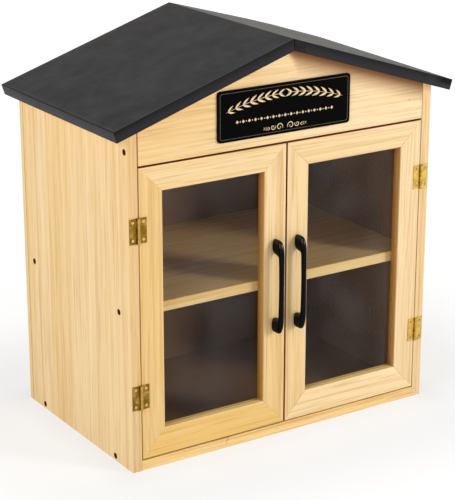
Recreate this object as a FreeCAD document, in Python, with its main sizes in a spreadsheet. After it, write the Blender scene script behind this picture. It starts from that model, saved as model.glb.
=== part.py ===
import FreeCAD
import Part
import Sketcher
import math
import os
import re
from FreeCAD import Placement, Rotation, Vector

# A street book exchange box: a small pine cabinet with a gabled roof, a shelf and two glazed doors.
# Its frame: +Z up, the doors face -Y, the origin is the centre of the underside.
# Pieces of the cabinet and the doors are drawn from the front plane, with depth counted along +Y.
# The left-hand pieces are drawn, and the right-hand ones are their mirror images.

# Driving sizes in millimetres and degrees, with what each one measures
SIZES = {
    "body_width": (600, "outside of one side board to the outside of the other"),
    "body_depth": (370, "front of the side boards to the back face"),
    "wall_height": (574, "outer height of the side boards, up to the roof"),
    "roof_slope": (17.85, "slope of each roof board, degrees"),
    "side_thickness": (18, "side boards"),
    "base_thickness": (18, "base board"),
    "back_thickness": (12, "back board"),
    "gable_thickness": (18, "gable board"),
    "gable_band": (56, "height of the gable board at the side boards"),
    "gable_end_gap": (0.8, "gap between the gable board and each side board"),
    "edge_ease": (0.6, "eased edges of the boards"),
    "shelf_thickness": (18, "shelf board"),
    "shelf_top": (280, "height of the shelf's upper face"),
    "shelf_door_gap": (1, "gap between the closed doors and the shelf"),
    "shelf_ease": (1.5, "rounding of the shelf's front edge"),
    "roof_thickness": (17, "roof boards"),
    "side_overhang": (30.5, "eave beyond the side board, without the covering"),
    "front_overhang": (16, "roof board beyond the front, without the covering"),
    "covering_thickness": (1.4, "roof covering"),
    "covering_round": (1.0, "rounding of the covering's folded edges"),
    "lap_width": (20, "lap of the covering at the front of the ridge"),
    "lap_height": (8, "lap of the covering, down the slope's end"),
    "lap_thickness": (0.8, "lap of the covering"),
    "seam_width": (0.6, "open seam of the folded covering at the ridge"),
    "sign_width": (260, "sign plate"),
    "sign_height": (84, "sign plate"),
    "sign_thickness": (3, "sign plate"),
    "sign_corner": (6, "corner radius of the sign plate"),
    "sign_shift": (-6.4, "centre of the sign plate, to the right of the middle"),
    "sign_roof_gap": (9, "corner of the sign plate below the roof board"),
    "door_thickness": (18, "door frame members"),
    "door_side_gap": (1.5, "gap between door and side board"),
    "door_middle_gap": (2.4, "gap between the two doors"),
    "door_top_gap": (2.5, "gap between door and gable board"),
    "door_base_gap": (2.5, "gap between door and base board"),
    "stile_width": (42.5, "upright door members"),
    "top_rail_width": (42.5, "upper door member"),
    "bottom_rail_width": (47, "lower door member"),
    "rebate_width": (7, "rebate for the pane, across"),
    "rebate_depth": (7, "rebate for the pane, from the back of the door"),
    "pane_thickness": (3, "pane"),
    "pane_clearance": (1, "pane to the wall of its rebate"),
    "bead_clearance": (0.3, "bead to the wall of the rebate"),
    "handle_length": (165, "handle, end to end"),
    "handle_reach": (24, "handle, from the door to its outer face at the middle"),
    "handle_bow": (2, "how far the middle of the handle bows out"),
    "handle_width": (10, "handle, across"),
    "handle_bar_depth": (8, "bar of the handle, front to back"),
    "handle_foot": (21, "height of each foot of the handle"),
    "handle_corner": (11, "outer corner radius of the handle"),
    "handle_inner_corner": (4, "corner radius between the bar and a foot"),
    "handle_round": (3.2, "rounding of the handle's edges"),
    "handle_middle": (252.5, "handle's middle above the bottom of the door"),
    "hinge_height": (42, "hinge"),
    "hinge_leaf_width": (15.5, "pin axis to the edge of a leaf"),
    "leaf_thickness": (1.1, "hinge leaf"),
    "leaf_lift": (0.4, "wrapped part of a leaf in front of the wood"),
    "barrel_radius": (2.6, "hinge barrel"),
    "barrel_gap": (0.3, "barrel in front of the wood"),
    "knuckle_gap": (0.2, "gap between two knuckles"),
    "pin_radius": (1.25, "hinge pin"),
    "pin_seat_clearance": (0.02, "pin in the knuckles of the frame leaf, radial"),
    "pin_running_clearance": (0.05, "pin in the knuckles of the door leaf, radial"),
    "pin_end": (0.6, "rounded end of the pin above and below the barrel"),
    "pin_end_radius": (1.9, "rounded end of the pin"),
    "hinge_offset": (1.5, "pin axis from the middle of the gap, towards the side board"),
    "upper_hinge_drop": (101.5, "top of the door to the middle of the upper hinge"),
    "lower_hinge_rise": (110.5, "bottom of the door to the middle of the lower hinge"),
    "hinge_screw_offset": (9.8, "pin axis to the screws of a leaf"),
    "hinge_screw_pitch": (29.5, "screw to screw on one leaf"),
    "catch_width": (30, "magnetic catch housing"),
    "catch_depth": (16, "magnetic catch housing"),
    "catch_height": (13, "magnetic catch housing with its flange"),
    "catch_flange_width": (52, "flange of the catch under the shelf"),
    "catch_flange_thickness": (2.5, "flange of the catch under the shelf"),
    "catch_screw_spacing": (41, "screw to screw in the flange"),
    "catch_door_gap": (1.8, "back of the closed doors to the catch housing"),
    "magnet_width": (10, "magnet, across"),
    "magnet_height": (7, "magnet, upright"),
    "magnet_depth": (4, "magnet, front to back"),
    "magnet_proud": (0.3, "magnet in front of the housing"),
    "magnet_spacing": (15, "magnet to magnet"),
    "strike_width": (12, "strike plate on a door"),
    "strike_height": (11, "strike plate on a door"),
    "strike_thickness": (1.2, "strike plate on a door"),
    "hole_clearance": (0.1, "screw to its hole, radial"),
    "tip_height": (3, "pointed end of a screw"),
    "drive_width": (0.7, "slots of the cross on a screw's head"),
    "side_screw_head": (9, "head diameter"),
    "side_screw_rise": (3.2, "head height"),
    "side_screw_shank": (4.8, "shank diameter"),
    "side_screw_length": (46, "length, head included"),
    "side_screw_recess": (0.8, "head below the face of the board"),
    "side_screw_shelf_inset": (36, "shelf screws from the front and from the back face"),
    "side_screw_base_inset": (58, "base screws from the front and from the back face"),
    "side_screw_gable_rise": (24, "gable screw above the door opening"),
    "back_screw_head": (7.2, "head diameter"),
    "back_screw_rise": (2.4, "head height"),
    "back_screw_shank": (3.6, "shank diameter"),
    "back_screw_length": (34, "length, head included"),
    "back_screw_recess": (0.2, "head below the face of the board"),
    "back_screw_inset": (60, "outer screws of the back board from its lower and upper ends"),
    "back_screw_spread": (145, "screws into base and shelf, from the middle"),
    "roof_screw_head": (7, "head diameter"),
    "roof_screw_rise": (2.4, "head height"),
    "roof_screw_shank": (3.4, "shank diameter"),
    "roof_screw_length": (34, "length, head included"),
    "roof_screw_recess": (0.2, "head below the face of the board"),
    "roof_screw_inset": (44, "end screws from the front and from the inside of the back board"),
    "roof_screw_gable_place": (150, "gable screw from the middle"),
    "hinge_screw_head": (4.8, "head diameter"),
    "hinge_screw_shank": (2.6, "shank diameter"),
    "hinge_screw_length": (14, "length, head included"),
    "handle_screw_head": (7.6, "head diameter"),
    "handle_screw_rise": (2.6, "head height"),
    "handle_screw_shank": (4, "shank diameter"),
    "handle_screw_length": (27, "length, head included"),
    "handle_screw_recess": (0.2, "head below the back of the door"),
    "catch_screw_head": (5, "head diameter"),
    "catch_screw_shank": (2.8, "shank diameter"),
    "catch_screw_length": (12, "length, head included"),
    "strike_screw_head": (4.8, "head diameter"),
    "strike_screw_shank": (2.6, "shank diameter"),
    "strike_screw_length": (11, "length, head included"),
}

doc = FreeCAD.newDocument("book_exchange_box")
sheet = doc.addObject("Spreadsheet::Sheet", "sizes")
for row, (alias, (value, meaning)) in enumerate(SIZES.items(), start=1):
    sheet.set(f"A{row}", alias)
    sheet.set(f"B{row}", str(value))
    sheet.set(f"C{row}", meaning)
    sheet.setAlias(f"B{row}", alias)
gauge = doc.addObject("App::VarSet", "gauge")
gauge.addProperty("App::PropertyFloat", "reading")
doc.recompute()

# Places that several pieces share, as expressions on the sheet. Depths count from the front plane.
FRONT = "-body_depth / 2"
HALF_WIDTH = "(body_width / 2)"
INNER = "(body_width / 2 - side_thickness)"
INSIDE_BACK = "(body_depth - back_thickness)"
OPENING_TOP = "(wall_height - gable_band)"
RIDGE_UNDERSIDE = "(wall_height + body_width / 2 * tan(roof_slope))"
RIDGE_TOP = f"({RIDGE_UNDERSIDE} + roof_thickness / cos(roof_slope))"
EAVE = "(body_width / 2 + side_overhang)"
ROOF_BACK = "(body_depth - covering_thickness)"
SHELF_FRONT = "(door_thickness + shelf_door_gap)"
SHELF_UNDERSIDE = "(shelf_top - shelf_thickness)"
SHELF_MIDDLE = "(shelf_top - shelf_thickness / 2)"
DOOR_LEFT = "(-body_width / 2 + side_thickness + door_side_gap)"
DOOR_RIGHT = "(-door_middle_gap / 2)"
DOOR_BOTTOM = "(base_thickness + door_base_gap)"
DOOR_TOP = f"({OPENING_TOP} - door_top_gap)"
SIGHT_LEFT = f"({DOOR_LEFT} + stile_width)"
SIGHT_RIGHT = f"({DOOR_RIGHT} - stile_width)"
SIGHT_BOTTOM = f"({DOOR_BOTTOM} + bottom_rail_width)"
SIGHT_TOP = f"({DOOR_TOP} - top_rail_width)"
REBATE_FRONT = "(door_thickness - rebate_depth)"
HINGE_X = f"(-{INNER} + door_side_gap / 2 - hinge_offset)"
HINGE_DEPTH = "(-barrel_radius - barrel_gap)"
UPPER_HINGE = f"({DOOR_TOP} - upper_hinge_drop)"
LOWER_HINGE = f"({DOOR_BOTTOM} + lower_hinge_rise)"
HANDLE_X = f"({DOOR_RIGHT} - stile_width / 2)"
HANDLE_Z = f"({DOOR_BOTTOM} + handle_middle)"
FOOT_MIDDLE = "(handle_length / 2 - handle_foot / 2)"
CATCH_FRONT = "(door_thickness + catch_door_gap)"
CATCH_MIDDLE = f"({SHELF_UNDERSIDE} - (catch_height + catch_flange_thickness) / 2)"
STRIKE_X = "(-magnet_spacing / 2)"

nodes = {}


def bound(text):
    """Names the sheet before each size in an expression."""
    return re.sub(r"\b[a-z]+(?:_[a-z]+)+\b", lambda word: "sizes." + word.group(0), str(text))


def number(text):
    """Reads an expression on the sheet as a plain number."""
    gauge.setExpression("reading", bound(text))
    gauge.recompute()
    return gauge.reading


def under_roof(distance):
    """Height of the roof boards' underside at a distance from the middle."""
    return f"({RIDGE_UNDERSIDE} - ({distance}) * tan(roof_slope))"


def on_roof(distance):
    """Height of the roof boards' upper face at a distance from the middle."""
    return f"({RIDGE_TOP} - ({distance}) * tan(roof_slope))"


def place(item, x="0", depth="0", z="0"):
    """Sets an object down by expressions, with its depth counted from the front plane."""
    item.setExpression("Placement.Base.x", bound(x))
    item.setExpression("Placement.Base.y", bound(f"{FRONT} + ({depth})"))
    item.setExpression("Placement.Base.z", bound(z))


def new_body(label, x="0", depth="0", z="0"):
    body = doc.addObject("PartDesign::Body", label)
    body.Label = label
    place(body, x, depth, z)
    return body


def new_sketch(body, role, offset="0"):
    """A sketch on one of the body's own origin planes, moved along that plane's normal."""
    sketch = body.newObject("Sketcher::SketchObject", body.Name + "_sketch")
    plane = next(part for part in body.Origin.OriginFeatures if part.Role == role)
    sketch.AttachmentSupport = [(plane, "")]
    sketch.MapMode = "FlatFace"
    sketch.setExpression("AttachmentOffset.Base.z", bound(offset))
    return sketch


def tie(sketch, kind, *where, to):
    """Adds a constraint whose value is an expression on the sheet."""
    index = sketch.addConstraint(Sketcher.Constraint(kind, *where, number(to)))
    sketch.setExpression(f"Constraints[{index}]", bound(to))


def tie_point(sketch, edge, end, x, y):
    tie(sketch, "DistanceX", -1, 1, edge, end, to=x)
    tie(sketch, "DistanceY", -1, 1, edge, end, to=y)


def draw_loop(sketch, points):
    """A closed outline with straight sides whose corners sit at the given expressions."""
    first = sketch.GeometryCount
    count = len(points)
    spots = [Vector(number(x), number(y), 0) for x, y in points]
    for index in range(count):
        sketch.addGeometry(Part.LineSegment(spots[index], spots[(index + 1) % count]), False)
    for index in range(count):
        sketch.addConstraint(
            Sketcher.Constraint("Coincident", first + index, 2, first + (index + 1) % count, 1)
        )
        tie_point(sketch, first + index, 1, *points[index])


def draw_circle(sketch, x, y, radius):
    centre = Vector(number(x), number(y), 0)
    edge = sketch.addGeometry(Part.Circle(centre, Vector(0, 0, 1), number(radius)), False)
    tie(sketch, "Radius", edge, to=radius)
    tie_point(sketch, edge, 3, x, y)


def rectangle(x_low, y_low, x_high, y_high):
    return [(x_low, y_low), (x_high, y_low), (x_high, y_high), (x_low, y_high)]


def mirror_loop(points):
    """Adds the mirror image of a right-hand outline, whose own middle points stay single."""
    return points + [(f"-{x}", y) for x, y in reversed(points) if x != "0"]


def pad(body, sketch, length, reverse=False, symmetric=False):
    feature = body.newObject("PartDesign::Pad", body.Name + "_pad")
    feature.Profile = sketch
    feature.Reversed = reverse
    if symmetric:
        feature.SideType = "Symmetric"
    feature.setExpression("Length", bound(length))
    doc.recompute()


def pocket(body, sketch, depth):
    """Cuts a sketch into the body, and makes sure that it cut something."""
    before = body.Shape.Volume
    feature = body.newObject("PartDesign::Pocket", body.Name + "_pocket")
    feature.Profile = sketch
    feature.setExpression("Length", bound(depth))
    doc.recompute()
    if body.Shape.Volume >= before:
        raise RuntimeError(f"a pocket in {body.Label} cuts nothing")


def edges_where(shape, which):
    return [f"Edge{index}" for index, edge in enumerate(shape.Edges, start=1) if which(edge)]


def ease(body, names, size):
    """Takes the sharpness off the named edges of the body's last feature."""
    last = body.Tip
    chamfer = body.newObject("PartDesign::Chamfer", body.Name + "_ease")
    chamfer.Base = (last, names)
    chamfer.setExpression("Size", bound(size))
    doc.recompute()


def round_edges(body, names, radius):
    """Rounds the named edges of the body's last feature."""
    last = body.Tip
    fillet = body.newObject("PartDesign::Fillet", body.Name + "_round")
    fillet.Base = (last, names)
    fillet.setExpression("Radius", bound(radius))
    doc.recompute()


def slab(label, loops, start, length, x="0", z="0"):
    """A flat piece: outlines in the front view, carried back from one depth by a length."""
    body = new_body(label, x=x, z=z)
    sketch = new_sketch(body, "XZ_Plane", f"-({start})")
    for points in loops:
        draw_loop(sketch, points)
    pad(body, sketch, length, reverse=True)
    return body


def board(label, points, start, length, z="0", which=lambda edge: True):
    """A slab of wood with its sharp edges taken off."""
    body = slab(label, [points], start, length, z=z)
    ease(body, edges_where(body.Tip.Shape, which), "edge_ease")
    return body


def compound(label, members):
    group = doc.addObject("Part::Compound", label)
    group.Label = label
    group.Links = members
    return group


def mirrored(label, source):
    image = doc.addObject("Part::Mirroring", label)
    image.Label = label
    image.Source = source
    image.Normal = (1, 0, 0)
    image.Base = (0, 0, 0)
    return image


def both_sides(label, source):
    return compound(label, [source, mirrored(label + "_mirror", source)])


def drilled(label, blank, drills):
    """A piece with its screw holes: the blank less the drills of the screws that enter it."""
    cut = doc.addObject("Part::Cut", label)
    cut.Label = label
    cut.Base = blank
    cut.Tool = drills[0] if len(drills) == 1 else compound(label + "_drills", drills)
    return cut


def keep(item):
    """Lists an object as one of the pieces, under the name that its file gets."""
    nodes[item.Label] = item


def keep_pair(item):
    """Keeps a left-hand piece and its right-hand mirror image."""
    keep(item)
    keep(mirrored(item.Label.replace("left_", "right_"), item))


# Screws. Each kind has a solid and a drill, drawn upright with the top of the head at height 0.


def turned(label, points):
    """A solid of revolution about Z from a half outline."""
    body = doc.addObject("PartDesign::Body", label)
    sketch = new_sketch(body, "XZ_Plane")
    draw_loop(sketch, points)
    feature = body.newObject("PartDesign::Revolution", label + "_turn")
    feature.Profile = sketch
    feature.ReferenceAxis = (sketch, ["V_Axis"])
    feature.Angle = 360
    doc.recompute()
    return body


def cut_cross(body, head, depth):
    """The cross in a screw's head."""
    for long_way in (True, False):
        reach = f"({head} * 0.3)"
        half = "(drive_width / 2)"
        across, along = (reach, half) if long_way else (half, reach)
        sketch = new_sketch(body, "XY_Plane")
        draw_loop(sketch, rectangle(f"-{across}", f"-{along}", across, along))
        pocket(body, sketch, depth)


def cap_screw(kind):
    """A screw with a flat-bottomed head in a counterbore."""
    head, rise = f"({kind}_head / 2)", f"{kind}_rise"
    shank, length = f"({kind}_shank / 2)", f"{kind}_length"
    solid = turned(
        kind,
        [
            ("0", "0"),
            (head, "0"),
            (head, f"-{rise}"),
            (shank, f"-{rise}"),
            (shank, f"-({length} - tip_height)"),
            ("0", f"-{length}"),
        ],
    )
    cut_cross(solid, f"{kind}_head", f"({rise} / 2)")
    wide, narrow = f"({head} + hole_clearance)", f"({shank} + hole_clearance)"
    mouth = f"({kind}_recess + hole_clearance)"
    drill = turned(
        kind + "_drill",
        [
            ("0", mouth),
            (wide, mouth),
            (wide, f"-{rise}"),
            (narrow, f"-{rise}"),
            (narrow, f"-({length} + hole_clearance)"),
            ("0", f"-({length} + hole_clearance)"),
        ],
    )
    return solid, drill


def sunk_screw(kind):
    """A screw with a countersunk head."""
    head, shank, length = f"({kind}_head / 2)", f"({kind}_shank / 2)", f"{kind}_length"
    cone = f"({head} - {shank})"
    solid = turned(
        kind,
        [
            ("0", "0"),
            (head, "0"),
            (shank, f"-{cone}"),
            (shank, f"-({length} - tip_height)"),
            ("0", f"-{length}"),
        ],
    )
    cut_cross(solid, f"{kind}_head", f"({cone} * 0.6)")
    wide, narrow = f"({head} + hole_clearance)", f"({shank} + hole_clearance)"
    drill = turned(
        kind + "_drill",
        [
            ("0", "hole_clearance"),
            (wide, "hole_clearance"),
            (wide, "0"),
            (narrow, f"-{cone}"),
            (narrow, f"-({length} + hole_clearance)"),
            ("0", f"-({length} + hole_clearance)"),
        ],
    )
    return solid, drill


# Turning a screw from upright to the way that it is driven: axis and angle
FROM_LEFT = (Vector(0, 1, 0), -90)
FROM_BACK = (Vector(1, 0, 0), -90)
FROM_FRONT = (Vector(1, 0, 0), 90)
FROM_BELOW = (Vector(1, 0, 0), 180)
FROM_ROOF = (Vector(0, 1, 0), -number("roof_slope"))


def drive(label, screw, turn, places):
    """Sets copies of a screw and of its drill at the places, and returns the two groups."""
    groups = []
    for source, ending in zip(screw, ("", "_drill")):
        copies = []
        for index, (x, depth, z) in enumerate(places, start=1):
            copy = doc.addObject("App::Link", f"{label}{ending}_{index}")
            copy.LinkedObject = source
            copy.Placement = Placement(Vector(), Rotation(*turn))
            place(copy, x, depth, z)
            if turn is FROM_ROOF:
                copy.setExpression("Placement.Rotation.Angle", bound("-roof_slope"))
            copies.append(copy)
        groups.append(compound(label + ending, copies))
    return groups


side_screw = cap_screw("side_screw")
back_screw = cap_screw("back_screw")
roof_screw = cap_screw("roof_screw")
handle_screw = cap_screw("handle_screw")
hinge_screw = sunk_screw("hinge_screw")
catch_screw = sunk_screw("catch_screw")
strike_screw = sunk_screw("strike_screw")

side_face = "(-body_width / 2 + side_screw_recess)"
left_side_screws, left_side_drill = drive(
    "left_side_screws",
    side_screw,
    FROM_LEFT,
    [
        (side_face, "gable_thickness / 2", f"{OPENING_TOP} + side_screw_gable_rise"),
        (side_face, "side_screw_shelf_inset", SHELF_MIDDLE),
        (side_face, "body_depth - side_screw_shelf_inset", SHELF_MIDDLE),
        (side_face, "side_screw_base_inset", "base_thickness / 2"),
        (side_face, "body_depth - side_screw_base_inset", "base_thickness / 2"),
    ],
)
keep_pair(left_side_screws)
side_drills = both_sides("side_drills", left_side_drill)

back_face = "body_depth - back_screw_recess"
side_edge = "(-body_width / 2 + side_thickness / 2)"
left_back_screws, left_back_drill = drive(
    "left_back_screws",
    back_screw,
    FROM_BACK,
    [
        (side_edge, back_face, "back_screw_inset"),
        (side_edge, back_face, "wall_height / 2"),
        (side_edge, back_face, "wall_height - back_screw_inset"),
        ("-back_screw_spread", back_face, "base_thickness / 2"),
        ("-back_screw_spread", back_face, SHELF_MIDDLE),
    ],
)
keep(both_sides("back_screws", left_back_screws))
back_drills = both_sides("back_drills", left_back_drill)

# A roof screw stands square to the slope, with its axis through a point of the board's underside
roof_lift = "(roof_thickness - roof_screw_recess)"
roof_places = [
    (side_edge, "roof_screw_inset", under_roof(f"-{side_edge}")),
    (side_edge, f"{INSIDE_BACK} / 2", under_roof(f"-{side_edge}")),
    (side_edge, f"{INSIDE_BACK} - roof_screw_inset", under_roof(f"-{side_edge}")),
    ("-roof_screw_gable_place", "gable_thickness / 2", under_roof("roof_screw_gable_place")),
]
left_roof_screws, left_roof_drill = drive(
    "left_roof_screws",
    roof_screw,
    FROM_ROOF,
    [
        (f"{x} - {roof_lift} * sin(roof_slope)", depth, f"{z} + {roof_lift} * cos(roof_slope)")
        for x, depth, z in roof_places
    ],
)
keep(both_sides("roof_screws", left_roof_screws))
roof_drills = both_sides("roof_drills", left_roof_drill)

hinge_heights = [
    f"{middle} {sign} hinge_screw_pitch / 2"
    for middle in (UPPER_HINGE, LOWER_HINGE)
    for sign in ("+", "-")
]
leaf_face = "-leaf_thickness"
frame_hinge_screws, frame_hinge_drill = drive(
    "left_frame_hinge_screws",
    hinge_screw,
    FROM_FRONT,
    [(f"{HINGE_X} - hinge_screw_offset", leaf_face, height) for height in hinge_heights],
)
keep_pair(frame_hinge_screws)
door_hinge_screws, door_hinge_drill = drive(
    "left_door_hinge_screws",
    hinge_screw,
    FROM_FRONT,
    [(f"{HINGE_X} + hinge_screw_offset", leaf_face, height) for height in hinge_heights],
)
keep_pair(door_hinge_screws)

handle_screws, handle_drill = drive(
    "left_door_handle_screws",
    handle_screw,
    FROM_BACK,
    [
        (HANDLE_X, "door_thickness - handle_screw_recess", f"{HANDLE_Z} {sign} {FOOT_MIDDLE}")
        for sign in ("+", "-")
    ],
)
keep_pair(handle_screws)

strike_screws, strike_drill = drive(
    "left_door_strike_screw",
    strike_screw,
    FROM_BACK,
    [(STRIKE_X, "door_thickness + strike_thickness", CATCH_MIDDLE)],
)
keep_pair(strike_screws)

catch_flange_face = f"{SHELF_UNDERSIDE} - catch_flange_thickness"
catch_screws, catch_drill = drive(
    "catch_screws",
    catch_screw,
    FROM_BELOW,
    [
        (f"{sign} catch_screw_spacing / 2", f"{CATCH_FRONT} + catch_depth / 2", catch_flange_face)
        for sign in ("-", "+")
    ],
)
keep(catch_screws)

# Cabinet boards

left_side_blank = board(
    "left_side_blank",
    [
        (f"-{HALF_WIDTH}", "0"),
        (f"-{INNER}", "0"),
        (f"-{INNER}", under_roof(INNER)),
        (f"-{HALF_WIDTH}", "wall_height"),
    ],
    "0",
    INSIDE_BACK,
)
left_side_drills = [left_side_drill, left_back_drill, left_roof_drill, frame_hinge_drill]
keep_pair(drilled("left_side_board", left_side_blank, left_side_drills))

base_outline = rectangle(f"-{INNER}", "0", INNER, "base_thickness")
base_blank = board("base_blank", base_outline, "0", INSIDE_BACK)
keep(drilled("base_board", base_blank, [side_drills, back_drills]))

back_outline = mirror_loop([(HALF_WIDTH, "0"), (HALF_WIDTH, "wall_height"), ("0", RIDGE_UNDERSIDE)])
back_blank = board("back_blank", back_outline, INSIDE_BACK, "back_thickness")
keep(drilled("back_board", back_blank, [back_drills]))

gable_end = f"({INNER} - gable_end_gap)"
gable_outline = mirror_loop(
    [(gable_end, OPENING_TOP), (gable_end, under_roof(gable_end)), ("0", RIDGE_UNDERSIDE)]
)
gable_blank = board("gable_blank", gable_outline, "0", "gable_thickness")
keep(drilled("gable_board", gable_blank, [side_drills, roof_drills]))

shelf_outline = rectangle(f"-{INNER}", SHELF_UNDERSIDE, INNER, "shelf_top")
shelf_blank = slab("shelf_blank", [shelf_outline], SHELF_FRONT, f"{INSIDE_BACK} - {SHELF_FRONT}")
shelf_front = number(f"{FRONT} + {SHELF_FRONT}")


def runs_along_shelf_front(edge):
    return abs(edge.BoundBox.YMax - shelf_front) < 0.01 and edge.BoundBox.XLength > 1


round_edges(shelf_blank, edges_where(shelf_blank.Shape, runs_along_shelf_front), "shelf_ease")
keep(drilled("shelf", shelf_blank, [side_drills, back_drills, catch_drill]))

# Roof boards, in a tilted frame whose X runs up the slope from an origin under the ridge

roof_run = f"(({EAVE} - roof_thickness * sin(roof_slope)) / cos(roof_slope))"
left_roof_blank = board(
    "left_roof_blank",
    [
        ("0", "0"),
        ("roof_thickness * tan(roof_slope)", "roof_thickness"),
        (f"-{roof_run}", "roof_thickness"),
        (f"-{roof_run}", "0"),
    ],
    "-front_overhang",
    f"{ROOF_BACK} + front_overhang",
    z=RIDGE_UNDERSIDE,
)
left_roof_blank.Placement = Placement(left_roof_blank.Placement.Base, Rotation(*FROM_ROOF))
left_roof_blank.setExpression("Placement.Rotation.Angle", bound("-roof_slope"))
keep_pair(drilled("left_roof_board", left_roof_blank, [left_roof_drill]))

# Roof covering: one sheet over both boards, folded down over the eaves, the front and the back

eave_top = (EAVE, on_roof(EAVE))
eave_bottom = (
    f"({EAVE} - roof_thickness * sin(roof_slope))",
    f"({on_roof(EAVE)} - roof_thickness * cos(roof_slope))",
)
fold_bottom = (
    f"({eave_bottom[0]} + covering_thickness * cos(roof_slope))",
    f"({eave_bottom[1]} - covering_thickness * sin(roof_slope))",
)
fold_top = (
    f"({fold_bottom[0]} + (roof_thickness + covering_thickness) * sin(roof_slope))",
    f"({fold_bottom[1]} + (roof_thickness + covering_thickness) * cos(roof_slope))",
)
covering_ridge = f"({RIDGE_TOP} + covering_thickness / cos(roof_slope))"
COVERING_FRONT = "(-front_overhang - covering_thickness)"


covering = new_body("roof_covering")
fold_sketch = new_sketch(covering, "XZ_Plane", f"-{COVERING_FRONT}")
inner_line = [("0", RIDGE_TOP), eave_top, eave_bottom]
outer_line = [fold_bottom, fold_top, ("0", covering_ridge)]
draw_loop(fold_sketch, mirror_loop(inner_line + outer_line))
pad(covering, fold_sketch, "body_depth + front_overhang + covering_thickness", reverse=True)
for lip_front in (COVERING_FRONT, ROOF_BACK):
    lip_sketch = new_sketch(covering, "XZ_Plane", f"-{lip_front}")
    lip_outline = [("0", RIDGE_UNDERSIDE), eave_bottom, eave_top, ("0", RIDGE_TOP)]
    draw_loop(lip_sketch, mirror_loop(lip_outline))
    pad(covering, lip_sketch, "covering_thickness", reverse=True)

ridge_height = number(covering_ridge)
steepness = math.tan(math.radians(number("roof_slope")))
skin_slack = number("covering_thickness") / 4
fold_width = number("roof_thickness + covering_thickness")


def is_outer_fold(edge):
    """The sheet's outer edges: the ridge, the rims of both slopes, and the eaves' four corners."""
    ends = [vertex.Point for vertex in edge.Vertexes]
    off_skin = [ridge_height - abs(end.x) * steepness - end.z for end in ends]
    on_rim = max(off_skin) < skin_slack
    is_corner = min(off_skin) < skin_slack and abs(edge.Length - fold_width) < skin_slack
    return on_rim or is_corner


round_edges(covering, edges_where(covering.Shape, is_outer_fold), "covering_round")
for seam_front in (COVERING_FRONT, ROOF_BACK):
    seam_sketch = new_sketch(covering, "XZ_Plane", f"-{seam_front}")
    draw_loop(
        seam_sketch,
        rectangle("-seam_width / 2", f"({RIDGE_UNDERSIDE} - seam_width)", "seam_width / 2", RIDGE_TOP),
    )
    pocket(covering, seam_sketch, "covering_thickness")

lap_near, lap_far = "(seam_width / 2)", "(seam_width / 2 + lap_width)"
lap_sketch = new_sketch(covering, "XZ_Plane", f"-{COVERING_FRONT}")
draw_loop(
    lap_sketch,
    [
        (lap_near, f"({on_roof(lap_near)} - lap_height)"),
        (lap_far, f"({on_roof(lap_far)} - lap_height)"),
        (lap_far, on_roof(lap_far)),
        (lap_near, on_roof(lap_near)),
    ],
)
pad(covering, lap_sketch, "lap_thickness")
keep(covering)

# Sign plate on the gable board, hung below the roof by its gap there

sign_far_side = "(sign_width / 2 + abs(sign_shift))"
sign = slab(
    "sign_plate",
    [rectangle("-sign_width / 2", "-sign_height", "sign_width / 2", "0")],
    "-sign_thickness",
    "sign_thickness",
    x="sign_shift",
    z=f"({under_roof(sign_far_side)} - sign_roof_gap)",
)
round_edges(
    sign, edges_where(sign.Shape, lambda edge: edge.BoundBox.YLength > 1), "sign_corner"
)
keep(sign)

# Magnetic catch under the shelf, in a frame at the shelf's underside and the housing's front

housing_top = "-catch_flange_thickness"
magnet_middle = f"({CATCH_MIDDLE} - {SHELF_UNDERSIDE})"
magnet_outlines = [
    rectangle(
        f"({side} magnet_spacing / 2 - magnet_width / 2)",
        f"({magnet_middle} - magnet_height / 2)",
        f"({side} magnet_spacing / 2 + magnet_width / 2)",
        f"({magnet_middle} + magnet_height / 2)",
    )
    for side in ("-", "+")
]
catch_blank = slab(
    "catch_blank",
    [rectangle("-catch_flange_width / 2", housing_top, "catch_flange_width / 2", "0")],
    CATCH_FRONT,
    "catch_depth",
    z=SHELF_UNDERSIDE,
)
housing_sketch = new_sketch(catch_blank, "XZ_Plane", f"-{CATCH_FRONT}")
draw_loop(
    housing_sketch, rectangle("-catch_width / 2", "-catch_height", "catch_width / 2", housing_top)
)
pad(catch_blank, housing_sketch, "catch_depth", reverse=True)
magnet_sketch = new_sketch(catch_blank, "XZ_Plane", f"-{CATCH_FRONT}")
for outline in magnet_outlines:
    draw_loop(magnet_sketch, outline)
pocket(catch_blank, magnet_sketch, "magnet_depth - magnet_proud")
keep(drilled("catch_body", catch_blank, [catch_drill]))
keep(
    slab(
        "catch_magnets",
        magnet_outlines,
        f"({CATCH_FRONT} - magnet_proud)",
        "magnet_depth",
        z=SHELF_UNDERSIDE,
    )
)

# Left door. Its frame members meet in mitres that run from the sight corners to the outer ones.

OUTER = {
    "low_left": (DOOR_LEFT, DOOR_BOTTOM),
    "low_right": (DOOR_RIGHT, DOOR_BOTTOM),
    "high_right": (DOOR_RIGHT, DOOR_TOP),
    "high_left": (DOOR_LEFT, DOOR_TOP),
}
SIGHT = {
    "low_left": (SIGHT_LEFT, SIGHT_BOTTOM),
    "low_right": (SIGHT_RIGHT, SIGHT_BOTTOM),
    "high_right": (SIGHT_RIGHT, SIGHT_TOP),
    "high_left": (SIGHT_LEFT, SIGHT_TOP),
}
MEMBERS = {
    "bottom_rail": ("low_left", "low_right", []),
    "meeting_stile": ("low_right", "high_right", [handle_drill, strike_drill]),
    "top_rail": ("high_right", "high_left", []),
    "hinge_stile": ("high_left", "low_left", [door_hinge_drill]),
}


def around_sight(margin):
    """A rectangle that stands outside the sight opening by a margin."""
    return rectangle(
        f"({SIGHT_LEFT} - {margin})",
        f"({SIGHT_BOTTOM} - {margin})",
        f"({SIGHT_RIGHT} + {margin})",
        f"({SIGHT_TOP} + {margin})",
    )


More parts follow.
